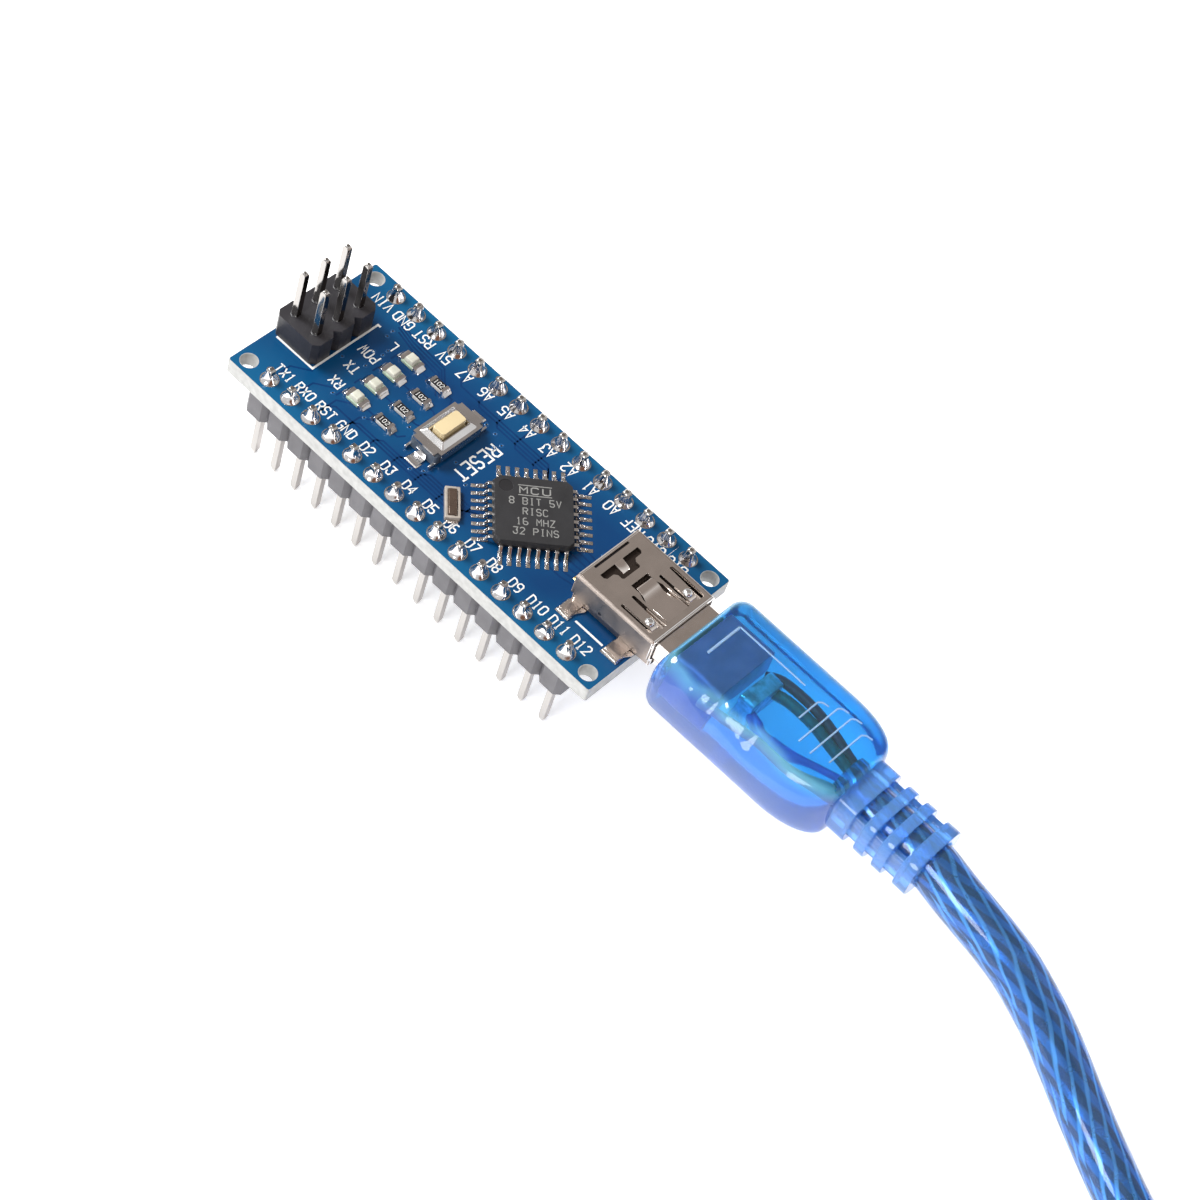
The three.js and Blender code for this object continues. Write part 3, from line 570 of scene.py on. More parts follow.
# Makes a visible piece that moves with its body and stands for the CAD nodes in replaced. Edges sharper
# than sharp degrees stay sharp, and even keeps flat faces evenly shaded beside them.
def piece(name, shape, finish, replaced=(), body=BOARD, sharp=38, even=True):
    mesh = bpy.data.meshes.new(name)
    mesh.from_pydata([(Vector(v) + SHIFT) * MM for v in shape[0]], [], shape[1])
    solid = bmesh.new()
    solid.from_mesh(mesh)
    bmesh.ops.recalc_face_normals(solid, faces=solid.faces)
    for face in solid.faces:
        face.smooth = True
    for edge in solid.edges:
        edge.smooth = edge.is_manifold and edge.calc_face_angle() < math.radians(sharp)
    solid.to_mesh(mesh)
    solid.free()
    made = bpy.data.objects.new(name, mesh)
    bpy.context.collection.objects.link(made)
    material, slot = LOOKS[finish]
    mesh.materials.append(material)
    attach(made, body)
    if even:
        weighted = made.modifiers.new("even_flats", "WEIGHTED_NORMAL")
        weighted.keep_sharp = True
    nodes = [replaced] if isinstance(replaced, str) else replaced
    if nodes:
        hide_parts(*nodes)
    return made


# A CAD node's own shape, in board millimetres, with its coplanar triangles joined and its edges eased.
def node_shape(node, soft, segments=2):
    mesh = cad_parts[node].data
    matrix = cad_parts[node].matrix_world
    vertices = [matrix @ v.co / MM - SHIFT for v in mesh.vertices]
    return soften((vertices, [list(p.vertices) for p in mesh.polygons]), soft, segments)


FLOOR_SIDE = 4.0
floor_mesh = bpy.data.meshes.new("floor")
corners = [(-1, -1), (1, -1), (1, 1), (-1, 1)]
floor_mesh.from_pydata([(u * FLOOR_SIDE / 2, v * FLOOR_SIDE / 2, 0) for u, v in corners], [], [[0, 1, 2, 3]])
floor_mesh.materials.append(LOOKS["studio_floor"][0])
floor = bpy.data.objects.new("floor", floor_mesh)
bpy.context.collection.objects.link(floor)

# ---- cord and coil

MOULD_LOW, MOULD_HIGH = extent("mini_plug_overmould")
AXIS_Z = (MOULD_LOW.z + MOULD_HIGH.z) / 2
RELIEF_END = MOULD_HIGH.x
coil_low, coil_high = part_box("cord_coil")
CORD = (coil_high.z - coil_low.z) / MM
COIL = (coil_low + coil_high) / 2 / MM - SHIFT
COIL_RADIUS = (coil_high.x - coil_low.x) / MM / 2 - CORD / 2
far_low, far_high = extent("usb_a_overmould")
FAR_Z = (far_low.z + far_high.z) / 2
FAR_Y = (far_low.y + far_high.y) / 2
UPPER_Z = COIL.z + CORD + 0.1


def on_coil(degrees, z):
    a = math.radians(degrees)
    return Vector((COIL.x + COIL_RADIUS * math.cos(a), COIL.y + COIL_RADIUS * math.sin(a), z))


# From the relief along the lead, once round the coil, up over it, and into the far plug.
def cord_route():
    lead = [(50.62, 0, 11.95), (51.5, -0.08, 11.85), (53.7, -0.35, 11.55), (56, -0.5, 11.2),
            (58.5, -0.6, 10.7), (61, -0.75, 10), (63.5, -1, 8.9), (66, -1.35, 7.7), (68.5, -1.9, 6.4),
            (71, -2.6, 5.2), (74, -3.5, 4), (77, -4.5, 3.1), (80, -5.6, 2.55), (83, -6.75, 2.33),
            (86, -7.9, 2.3), (88.5, -8.8, 2.35), (91, -9.7, 2.4), (94, -10.9, 2.55), (98, -12.3, 2.7),
            (102, -13.3, 2.85), (107, -13.9, 3.0)]
    route = [Vector(p) - SHIFT for p in lead]
    for degrees in range(-90, 361, 12):
        climb = min(1, max(0, (degrees - 160) / 62))
        route.append(on_coil(degrees, COIL.z + (UPPER_Z - COIL.z) * (3 - 2 * climb) * climb ** 2))
    last = 18  # the radius of the last bend, towards the far plug
    middle_x = COIL.x + COIL_RADIUS - last
    for degrees in range(15, 91, 15):
        a = math.radians(degrees)
        rise = (FAR_Z - UPPER_Z) * (1 - math.cos(2 * a)) / 2
        route.append(Vector((middle_x + last * math.cos(a), COIL.y + last * math.sin(a), UPPER_Z + rise)))
    route += [Vector((x, FAR_Y, FAR_Z)) for x in (middle_x - 2, far_high.x - 1)]
    return smooth_line(route, 4)


# A tube along the line, whose UVs run along and round it in millimetres, for the braid's strands.
def cord_tube(name, line, radius, finish, sides, replaced=()):
    made = piece(name, tube(line, radius, sides), finish, replaced, CABLE, even=False)
    layer = made.data.uv_layers.new(name="UVMap")
    along, travelled = [0.0], 0.0
    for a, b in zip(line, line[1:]):
        travelled += (b - a).length
        along.append(travelled)
    for polygon in made.data.polygons:
        ids = list(polygon.vertices)
        wrap = any(i % sides == 0 for i in ids) and any(i % sides == sides - 1 for i in ids)
        for loop, i in zip(polygon.loop_indices, ids):
            part = sides if wrap and i % sides == 0 else i % sides
            around = part / sides * 2 * math.pi * radius
            layer.data[loop].uv = (along[min(i // sides, len(along) - 1)], around)
    return made


line = cord_route()
CORD_NODES = ("cord_lead", "cord_coil", "cord_upper_turn")
inside = [Vector((x, 0, AXIS_Z)) for x in (41.5, 43.5, 46, 48.5)] + line[1:]
jacket = cord_tube("cord_jacket", line, CORD / 2, "blue_jacket", 20, CORD_NODES)
cord_tube("cord_braid", inside, CORD * 0.39, "braid", 16)
cord_tube("cord_in_relief", inside[:5], CORD / 2 - 0.05, "blue_jacket", 20)

# ---- circuit board

FILM = 0.03


def board_outline(inset):
    return centred(LENGTH / 2 - inset, WIDTH / 2 - inset, 0.2, 2)


def board_holes(grow=0.0):
    corners = [circle(x, y, 0.8 + grow, 32) for x in (-CORNER_X, CORNER_X) for y in (-ROW_Y, ROW_Y)]
    pins = [circle(x, y, 0.5, 12) for x in ROW_X for y in (-ROW_Y, ROW_Y)]
    return corners + pins + [circle(x, y, 0.5, 12) for x in ICSP_X for y in ICSP_Y]


piece("board_core", plate(board_outline(0), BOTTOM + FILM / 2, TOP - FILM / 2, board_holes()), "board_core",
      "circuit_board")
for side, z in (("top", TOP - FILM), ("under", BOTTOM)):
    film = plate(board_outline(0.05), z, z + FILM, board_holes(0.05))
    piece(f"solder_mask_{side}", film, "solder_mask")

RAISED = 0.008
LIGHTS = ("pin_13", "power", "transmit", "receive")
LED_Y = [middle(f"led_{name}").y for name in LIGHTS]


# The traces that show faintly under the mask, each a line of [x, y].
def lanes():
    lines = []
    for k in range(8):  # from the front row of pins to the chip's near corner
        x, y = ROW_X[2 + k], -ROW_Y + 1
        lane = -5.1 + 0.34 * k
        lines.append([(x, y), (x, lane - 0.5), (x + 0.5, lane), (1.2 + 0.25 * k, lane),
                      (2.3 + 0.5 * k, lane + 0.9)])
    for k in range(7):  # from the back row of pins, past the switch
        x, y = ROW_X[4 + k], ROW_Y - 1
        lane = 5.2 - 0.36 * k
        lines.append([(x, y), (x, lane + 0.4), (x + 0.4, lane), (3.4 + 0.3 * k, lane),
                      (4.1 + 0.3 * k, lane - 0.7)])
    for k in range(7):  # from the chip's far corner to the socket
        y = -2.5 + 0.62 * k
        lines.append([(9.4 + 0.25 * abs(k - 3), y * 0.6), (10.6, y), (12.2, y), (14.4, y * 0.8)])
    for y in LED_Y:
        lines.append([(-10.9, y), (-9.4, y)])
        lines.append([(-7.3, y), (-6.7, y), (-6.3, y * 0.8)])
        lines.append([(-12.6, y), (-13.1, y - 0.4), (-13.1, y - 1.1)])
    for k in range(4):  # round the programming pins
        lines.append([(-16 + 0.4 * k, 6.2 - 0.4 * k), (-13.5 + 0.3 * k, 5.6 - 0.35 * k),
                      (-9.5, 5.4 - 0.35 * k), (-7.2 - 0.2 * k, 3.2 - 0.2 * k)])
        lines.append([(ROW_X[k], -ROW_Y + 1), (ROW_X[k], -5.2 + 0.3 * k), (ROW_X[k] + 1.6, -4 + 0.3 * k)])
    return lines


traces = [ribbon(way, 0.16, TOP - 0.02, TOP + RAISED) for way in lanes()]
piece("copper_traces_top", merged(*traces), "mask_over_copper")


# Under the board, a short trace leaves each header pin.
def under_lanes():
    lines = []
    for k, x in enumerate(ROW_X):
        for side in (-1, 1):
            deep = 5.3 - 0.3 * (k % 4)
            lines.append([(x, side * (ROW_Y - 1)), (x, side * deep), (x + 0.9, side * (deep - 0.9)),
                          (x + 1.9, side * (deep - 0.9))])
    return lines


traces = [ribbon(way, 0.18, BOTTOM - RAISED, BOTTOM + 0.02) for way in under_lanes()]
piece("copper_traces_under", merged(*traces), "mask_over_copper")


VIA_COUNT = 22
VIA_RING = [(0.1, 0.015), (0.12, 0.03), (0.18, 0.028), (0.22, 0.0), (0.22, -0.02), (0.1, -0.02)]
VIA_HOLE = [(0.09, -0.02), (0.09, 0.018)]


# Vias scattered over the free parts of the board, clear of the parts and of each other.
def vias():
    rings, holes = [], []
    keep_out = [extent(n) for n in ("microcontroller", "usb_socket_shell", "switch_cover", "icsp_base")]
    keep_out += [extent(f"{kind}_{name}") for kind in ("led", "resistor") for name in LIGHTS]
    while len(rings) < VIA_COUNT:
        x, y = rng.uniform(-16, 20.5), rng.uniform(-5.2, 5.2)
        if any(a.x - 0.6 < x < b.x + 0.6 and a.y - 0.6 < y < b.y + 0.6 for a, b in keep_out):
            continue
        keep_out.append((Vector((x, y, 0)), Vector((x, y, 0))))
        rings.append(moved(lathe(VIA_RING, 14), x, y, TOP))
        holes.append(moved(lathe(VIA_HOLE, 12), x, y, TOP))
    return merged(*rings), merged(*holes)


via_rings, via_holes = vias()
piece("via_rings", via_rings, "via_ring")
# Dark discs in the vias: painted shade for their holes.
piece("via_holes", via_holes, "dimple_and_hole_shade")

# ---- silkscreen

# Letters are pen strokes: each pair of digits is a point, right and up, on this grid.
GLYPH_WIDE, GLYPH_HIGH = 4, 6
GLYPHS = {
    "0": ["011030414536160501"], "1": ["152620", "1030"], "2": ["05163645440040"],
    "3": ["06463434414230100102"], "4": ["30360242"], "5": ["460603334241301001"],
    "6": ["36160501103041423303"], "7": ["064610"], "8": ["13040516364544331302011030414233"],
    "9": ["10304145361605041343"], "A": ["002640", "1232"], "B": ["00063645443303", "3342413000"],
    "C": ["4536160501103041"], "D": ["00062645413000"], "E": ["46060040", "0333"], "F": ["460600", "0333"],
    "G": ["45361605011030414323"], "H": ["0006", "4046", "0343"], "I": ["2620", "1636", "1030"],
    "L": ["060040"], "M": ["0006234640"], "N": ["00064046"], "O": ["011030414536160501"],
    "P": ["00063645443303"], "R": ["00063645443303", "2340"], "S": ["453616050413334241301001"],
    "T": ["0646", "2620"], "U": ["060110304146"], "V": ["062046"], "W": ["0610233046"], "X": ["0046", "0640"],
    "Z": ["06460040"], " ": [],
}
INK = 0.13


# Text round (x, y), turned by degrees, its strokes standing from z0 to z1.
def lettering(text, x, y, height, degrees, z0, z1, ink=INK, spacing=5.6, wide=0.76):
    unit = height / GLYPH_HIGH
    width = (len(text) - 1) * spacing + GLYPH_WIDE
    turn = Matrix.Rotation(math.radians(degrees), 2)
    strokes = []
    for i, letter in enumerate(text):
        for stroke in GLYPHS[letter]:
            pairs = [(int(a), int(b)) for a, b in zip(stroke[::2], stroke[1::2])]
            way = [Vector(((a + i * spacing - width / 2) * unit * wide, (b - GLYPH_HIGH / 2) * unit))
                   for a, b in pairs]
            strokes.append(ribbon([turn @ p + Vector((x, y)) for p in way], ink, z0, z1))
    return merged(*strokes)


INK_LOW, INK_HIGH = TOP - 0.01, TOP + 0.025
FRONT_LABELS = ["TX1", "RX0", "RST", "GND"] + [f"D{n}" for n in range(2, 13)]
BACK_LABELS = ["VIN", "GND", "RST", "5V"] + [f"A{7 - n}" for n in range(8)] + ["REF", "3V3", "D13"]
LABEL_Y = ROW_Y - 1.5
labels = [lettering(text, x + 0.3, -LABEL_Y, 0.98, 0, INK_LOW, INK_HIGH)
          for text, x in zip(FRONT_LABELS, ROW_X)]
piece("labels_front", merged(*labels), "silkscreen")
labels = [lettering(text, x - 0.2, LABEL_Y + 0.13, 1.03, 180, INK_LOW, INK_HIGH)
          for text, x in zip(BACK_LABELS, ROW_X)]
piece("labels_back", merged(*labels), "silkscreen")
LIGHT_LABELS = zip(("L", "POW", "TX", "RX"), LED_Y, (-13.95, -14.6, -14.45, -14.1))
labels = [lettering(text, x, y - 0.05, 1.0, 180, INK_LOW, INK_HIGH) for text, y, x in LIGHT_LABELS]
piece("labels_lights", merged(*labels), "silkscreen")
piece("label_reset", lettering("RESET", -0.55, 0.4, 1.35, -90, INK_LOW, INK_HIGH, 0.18, 6.0), "silkscreen")

ICSP_LOW, ICSP_HIGH = extent("icsp_base")
SOCKET_LOW, SOCKET_HIGH = extent("usb_socket_shell")
corner_line = [(ICSP_LOW.x + 0.75, ICSP_LOW.y - 0.1), (ICSP_HIGH.x + 0.12, ICSP_LOW.y - 0.05),
               (ICSP_HIGH.x + 0.08, ICSP_HIGH.y + 0.3), (ICSP_HIGH.x + 0.4, ICSP_HIGH.y + 0.3)]
marks = [corner_line] + [[(16.1, side * 4.72), (19.25, side * 4.72)] for side in (-1, 1)]
piece("outline_marks", merged(*[ribbon(way, 0.2, INK_LOW, INK_HIGH) for way in marks]), "silkscreen")
UNDER_INK = (0.18, BOTTOM - 0.02, BOTTOM + 0.01)
marks = [ribbon([(-20, side * 5.95), (-19, side * 5.95)], *UNDER_INK) for side in (-1, 1)]
marks.append(ribbon([(3.2, -2.1), (13.8, -2.1), (13.8, 3.3), (3.2, 3.3)], *UNDER_INK, True))
piece("outline_marks_under", merged(*marks), "silkscreen")

# ---- pin headers and solder


# The outline of a pin strip, with its corners cut where one pin's cell meets the next.
def notched(cells, width):
    corner = 0.5
    points = []
    for sign in (1, -1):
        for i in range(cells):
            start = sign * (i - cells / 2) * PITCH
            edge = sign * -width / 2
            points += [(start, edge + sign * corner), (start + sign * corner, edge),
                       (start + sign * (PITCH - corner), edge)]
        points.append((sign * cells * PITCH / 2, sign * -(width / 2 - corner)))
    return points


# A square pin that narrows over foot_point and tip_point towards its two blunt ends.
def square_pin(x, y, foot, tip, foot_point, tip_point):
    half, blunt = PIN / 2, 0.5
    rings = [(foot, blunt * half), (foot + foot_point, half), (tip - tip_point, half), (tip, blunt * half)]
    stack = [[(x + u * r, y + v * r, z) for u, v in ((-1, -1), (1, -1), (1, 1), (-1, 1))] for z, r in rings]
    return soften(loft(stack), 0.05)


STRIP_TOP = BOTTOM - 0.02
PIN_TIP = extent("header_front")[1].z
for row, y in (("front", -ROW_Y), ("back", ROW_Y)):
    strip = moved(plate(notched(15, PITCH - 0.04), BOTTOM - PITCH, STRIP_TOP, soft=0.07), y=y)
    piece(f"header_strip_{row}", strip, "strip_plastic", f"header_{row}")
    pins = [square_pin(x, y, 0, PIN_TIP, 0.6, 0.15) for x in ROW_X]
    piece(f"header_pins_{row}", merged(*pins), "pin_foot")


# How wide a cone of solder is at each share of its height: 1 at its foot, 0 at the pin.
CONE_FLANK = [(0, 1.0), (0.05, 0.93), (0.13, 0.75), (0.26, 0.53), (0.42, 0.35), (0.6, 0.21), (0.8, 0.09),
              (0.93, 0.03), (1, 0.0)]
CONE_SIDES = 24
PAD = [(0.3, -0.01), (0.86, -0.01), (0.86, 0.015), (0.3, 0.02)]
PIN_SEAT = [(0.3, -0.2), (0.52, -0.2), (0.52, 0.03), (0.45, 0.06), (0.3, 0.0)]


# A cone of solder that has climbed a pin: wide foot, hollow flank, a lump or two.
def solder_cone(x, y, height, seed, foot=0.8, neck=0.34):
    lean_x, lean_y = rng.uniform(-0.1, 0.1), rng.uniform(-0.1, 0.1)
    rings = []
    for t, share in CONE_FLANK:
        ring = []
        for i in range(CONE_SIDES):
            a = 2 * math.pi * i / CONE_SIDES
            lump = 1 + 0.2 * noise.noise(Vector((math.cos(a) * 0.8 + seed * 9.7, math.sin(a) * 0.8, t * 0.9)))
            r = (neck + (foot - neck) * share) * (lump if t > 0.05 else 1 + 0.03 * math.sin(3 * a + seed))
            ring.append((x + r * math.cos(a) + lean_x * t, y + r * math.sin(a) + lean_y * t, height * t))
        rings.append(ring)
    return moved(loft(rings), z=TOP)


for row, y in (("front", -ROW_Y), ("back", ROW_Y)):
    first = 0 if row == "front" else 40
    cones = [solder_cone(x, y, rng.uniform(1.15, 1.34), first + k) for k, x in enumerate(ROW_X)]
    pads = [moved(lathe(PAD, 24), x, y, TOP) for x in ROW_X]
    piece(f"solder_cones_{row}", merged(*cones), "solder")
    piece(f"solder_pads_{row}", merged(*pads), "rough_solder")

# ---- programming header

ICSP_MIDDLE = sum(ICSP_X) / 2
base = moved(plate(notched(3, 2 * PITCH - 0.04), 0, ICSP_HIGH.z - ICSP_LOW.z, soft=0.09), turn=math.pi / 2)
piece("icsp_base_body", moved(base, ICSP_MIDDLE, 0, ICSP_LOW.z), "black_plastic", "icsp_base")
for i, x in enumerate(ICSP_X):
    for j, y in enumerate(ICSP_Y):
        name = f"icsp_pin_{2 * j + i + 1}"
        low, high = extent(name)
        piece(f"{name}_shaft", square_pin(x, y, low.z, high.z, 0.3, 0.32), "pin_metal", name)
        piece(f"{name}_seat", moved(lathe(PIN_SEAT, 16), x, y, ICSP_HIGH.z), "black_plastic")
upside_down = Matrix.Translation((0, 0, BOTTOM + TOP)) @ Matrix.Scale(-1, 4, (0, 0, 1))
cones = [moved(solder_cone(x, y, 1.1, 90 + 3 * i + j, 0.85, 0.38), matrix=upside_down)
         for i, x in enumerate(ICSP_X) for j, y in enumerate(ICSP_Y)]
piece("icsp_solder_under", merged(*cones), "solder")

# ---- chips with gull-wing leads


# A chip's lead: out of the body at rise, down, and flat on its pad. It starts a little inside the body.
def gull(reach, rise, thick, width):
    inset, bend, heel = 0.25, reach * 0.26, reach * 0.55
    outline = [(-inset, rise), (bend * 0.7, rise), (bend, rise - 0.06), (heel - 0.05, 0.06), (heel + 0.04, 0),
               (reach, 0), (reach, thick), (heel + thick * 0.7, thick), (heel + thick * 0.45, thick + 0.06),
               (bend + thick * 0.8, rise + thick - 0.08), (bend + thick * 0.4, rise + thick),
               (-inset, rise + thick)]
    side = plate(outline, -width / 2, width / 2, soft=0.025)
    return [Vector((v[0], v[2], v[1])) for v in side[0]], [list(reversed(f)) for f in side[1]]


def chip_outline(size, corner):
    h = size / 2
    return [(h, corner - h), (h, h - corner), (h - corner, h), (corner - h, h), (-h, h - corner),
            (-h, corner - h), (corner - h, -h), (h - corner, -h)]


CHIP = middle("microcontroller")
CHIP_LOW, CHIP_HIGH = extent("microcontroller")
CHIP_TOP = CHIP_HIGH.z - CHIP_LOW.z
CHIP_SIDE = 7.0
LEADS_A_SIDE, LEAD_PITCH = 8, 0.8
SEAT = TOP + 0.02
TURN = math.pi / 4


def main_chip():
    levels = [(0.1, 0.16), (0.5, 0.0), (0.62, 0.0), (CHIP_TOP - 0.07, 0.13)]
    rings = [[(*p, z) for p in chip_outline(CHIP_SIDE - 2 * inset, 0.45)] for z, inset in levels]
    lid_outline = chip_outline(CHIP_SIDE - 0.26, 0.45)
    dot = circle(1.12 - CHIP_SIDE / 2, CHIP_SIDE / 2 - 1.12, 0.62, 28)
    lid = plate(lid_outline, CHIP_TOP - 0.07, CHIP_TOP, [dot], soft=0.03)
    return merged(soften(loft(rings), 0.05), lid), dot


def on_chip(shape):
    return moved(shape, CHIP.x, CHIP.y, SEAT, TURN)


chip_body, dot = main_chip()
piece("microcontroller_body", on_chip(chip_body), "chip_plastic", "microcontroller")
piece("microcontroller_pin_mark", on_chip(plate(dot, CHIP_TOP - 0.08, CHIP_TOP - 0.045)), "dimple_and_hole_shade")
leads, toes, pads = [], [], []
for side in range(4):
    turn = side * math.pi / 2
    for i in range(LEADS_A_SIDE):
        y = (i - (LEADS_A_SIDE - 1) / 2) * LEAD_PITCH
        leads.append(moved(moved(gull(1.0, 0.5, 0.15, 0.31), CHIP_SIDE / 2, y), turn=turn))
        toe = tapered(0.42, 0.34, 0.0, 0.18, 0.1, 0.04, CHIP_SIDE / 2 + 1.12, y)
        toes.append(moved(uneven(toe, 0.06, 0.4, side * LEADS_A_SIDE + i), turn=turn))
        pads.append(moved(block(1.4, 0.36, -0.015, 0.02, CHIP_SIDE / 2 + 1.0, y, 0.01), turn=turn))
piece("microcontroller_leads", on_chip(merged(*leads)), "lead_metal")
piece("microcontroller_solder", on_chip(merged(*toes)), "solder")
piece("microcontroller_pads", on_chip(merged(*pads)), "rough_solder")
MARK = (CHIP_TOP - 0.01, CHIP_TOP + 0.006)
MARK_ROWS = [("8 BIT 5V", 0.88), ("RISC", -0.18), ("16 MHZ", -1.24), ("32 PINS", -2.25)]
marks = [lettering(text, 0.1, y, 0.68, 0, *MARK, 0.09, 6.0, 0.85) for text, y in MARK_ROWS]
marks.append(lettering("MCU", 0.1, 2.02, 0.66, 0, *MARK, 0.12, 6.2, 1.45))
marks += [ribbon([(-1.35, y), (1.55, y)], 0.08, *MARK) for y in (1.5, 2.54)]
piece("microcontroller_marking", on_chip(merged(*marks)), "laser_mark")

# ---- resonator, lights and resistors

RES = middle("resonator_base")


def on_resonator(shape):
    return moved(shape, RES.x, RES.y, SEAT, -TURN)


rim = plate(centred(1.65, 0.67, 0.1), 0, 0.52, [centred(1.4, 0.42, 0.08)], soft=0.05)
piece("resonator_case", on_resonator(merged(rim, block(3.1, 1.2, 0.02, 0.3))), "ceramic", "resonator_base")
piece("resonator_cap", on_resonator(tapered(2.84, 0.9, 0.3, 0.7, 0.1, 0.06)), "resonator_lid",
      "resonator_lid")
ends = [uneven(tapered(0.4, 1.15, -0.01, 0.2, 0.1, 0.06, x), 0.05, 0.5, 3 + x) for x in (-1.7, 0, 1.7)]
piece("resonator_solder", on_resonator(merged(*ends)), "rough_solder")


# Solder between a part's end cap and its pad, a rounded ramp.
def fillet(x, reach, width, height, side, seed):
    rings = []
    for t, share in ((0, 1.0), (0.12, 0.92), (0.35, 0.55), (0.7, 0.3), (1.0, 0.1)):
        half, top = width / 2 * (1 - 0.12 * t), height * share
        section = [(-half, -0.01), (half, -0.01), (half * 0.9, top * 0.8), (half * 0.5, top),
                   (-half * 0.5, top), (-half * 0.9, top * 0.8)]
        rings.append([(x + side * reach * t, y, z) for y, z in section])
    return uneven(loft(rings), 0.05, 0.35, seed)


# A shape made round the origin, moved to a node's middle and down to its underside.
def standing(shape, node):
    place = middle(node)
    return moved(shape, place.x, place.y, extent(node)[0].z)


def make_light(name, seed):
    node = f"led_{name}"
    length, width, height = extent(node)[1] - extent(node)[0]
    base = block(length - 0.6, width, 0, 0.3, soft=0.03)
    piece(f"led_base_{name}", standing(base, node), "led_base", node)
    piece(f"led_lens_{name}", standing(tapered(1.08, 1.1, 0.28, height, 0.12, 0.09), node), "led_lens")
    caps = [block(0.46, width * 0.94, -0.01, 0.34, s * (length / 2 - 0.21), 0, 0.04) for s in (-1, 1)]
    ramps = [fillet(s * length / 2, 0.32, width * 0.9, 0.38, s, seed + s) for s in (-1, 1)]
    piece(f"led_terminals_{name}", standing(merged(*caps, *ramps), node), "solder")


def make_resistor(name, seed):
    node = f"resistor_{name}"
    length, width, height = extent(node)[1] - extent(node)[0]
    body = block(length - 0.5, width - 0.04, 0.02, height - 0.04, soft=0.03)
    film = block(1.12, 0.8, height - 0.05, height + 0.01, soft=0.02)
    piece(f"resistor_body_{name}", standing(body, node), "resistor_ceramic", node)
    piece(f"resistor_film_{name}", standing(film, node), "resistor_glass")
    caps = [block(0.3, width + 0.02, 0, height + 0.03, s * (length / 2 - 0.15), 0, 0.05) for s in (-1, 1)]
    ramps = [fillet(s * length / 2, 0.34, width + 0.15, height + 0.02, s, seed + s) for s in (-1, 1)]
    piece(f"resistor_ends_{name}", standing(merged(*caps, *ramps), node), "solder")
    value = lettering("102", 0, 0, 0.42, 0, height, height + 0.02, 0.05, 6.2, 0.85)
    piece(f"resistor_value_{name}", standing(value, node), "silkscreen")


for k, name in enumerate(LIGHTS):
    make_light(name, 20 + k)
    make_resistor(name, 30 + k)

# ---- reset switch

SW_LOW, SW_HIGH = extent("switch_cover")
SW = (SW_LOW + SW_HIGH) / 2


def on_switch(shape):
    return moved(shape, SW.x, SW.y, SEAT)


half_x, half_y = (SW_HIGH.x - SW_LOW.x) / 2, (SW_HIGH.y - SW_LOW.y) / 2
cover_top = SW_HIGH.z - SEAT
plate_top = cover_top - 0.38
NOTCH = 0.42
sheet_outline = []
for u, v in ((-1, -1), (1, -1), (1, 1), (-1, 1)):
    notch = [(u * half_x, v * (half_y - NOTCH)), (u * (half_x - NOTCH), v * (half_y - NOTCH)),
             (u * (half_x - NOTCH), v * half_y)]
    sheet_outline += notch[::-1] if u * v < 0 else notch
sheet = plate(sheet_outline, plate_top - 0.2, plate_top, [centred(1.1, 1.8, 0.15)], soft=0.05)
skirts = []
for side in (-1, 1):
    inner, outer = side * (half_x - 0.2), side * half_x
    wall = [(inner, -2.4), (outer, -2.4), (outer, 2.4), (inner, 2.4)]
    skirts.append(plate(wall[::side], 0.32, plate_top - 0.1, soft=0.04))
piece("switch_cover_sheet", on_switch(merged(sheet, *skirts)), "switch_steel", "switch_cover")


# A sloping wall between two outlines, each at its own height.
def ring_wall(outer, inner, z_out, z_in, drop):
    rings = [(outer, z_out - drop), (outer, z_out), (inner, z_in), (inner, z_in - drop)]
    return loft([[(*p, z) for p in outline] for outline, z in rings], closed=True)


RIM_STEPS = [centred(*step) for step in ((1.42, 2.12, 0.2), (0.98, 1.72, 0.14), (0.9, 1.66, 0.14),
                                         (0.8, 1.61, 0.2))]
rim_parts = [ring_wall(*RIM_STEPS[0:2], plate_top, cover_top - 0.02, 0.06),
             ring_wall(*RIM_STEPS[1:3], cover_top - 0.02, cover_top, 0.06),
             ring_wall(*RIM_STEPS[2:4], cover_top, cover_top - 0.12, 0.3)]
piece("switch_cover_rim", on_switch(merged(*rim_parts)), "switch_steel")
bowl = plate(centred(1.5, 2.95, 0.2), 0.02, 1.2, [centred(1.05, 1.95, 0.1)], soft=0.05)
well = block(2.4, 4.2, 0.02, 0.3)
piece("switch_housing", on_switch(merged(bowl, well)), "switch_plastic", "switch_base")
button_top = extent("reset_button")[1].z - SEAT
head = plate(centred(0.66, 1.45, 0.26, 5), 1.0, button_top, soft=0.08)
flange = block(1.8, 3.5, 1.0, 1.2, soft=0.03)
piece("button_cap", on_switch(merged(head, flange)), "button_plastic", "reset_button", BUTTON)
foot = extent("switch_base")[1].y + 0.02
leg_side = [(foot, 0.0), (foot + 1.22, 0.0), (foot + 1.22, 0.15), (foot + 0.2, 0.15), (foot + 0.15, 0.2),
            (foot + 0.15, 0.75), (foot, 0.75)]
for name, side in (("back", 1), ("front", -1)):
    leg = moved(across(leg_side, -0.6, 0.6, soft=0.03), matrix=Matrix.Scale(side, 4, (0, 1, 0)))
    joint = uneven(tapered(1.5, 0.8, -0.01, 0.13, 0.2, 0.04, 0, side * (foot + 0.95)), 0.05, 0.5, 60 + side)
    piece(f"switch_leg_{name}", on_switch(leg), "switch_steel", f"switch_terminal_{name}")
    piece(f"switch_solder_{name}", on_switch(joint), "rough_solder")
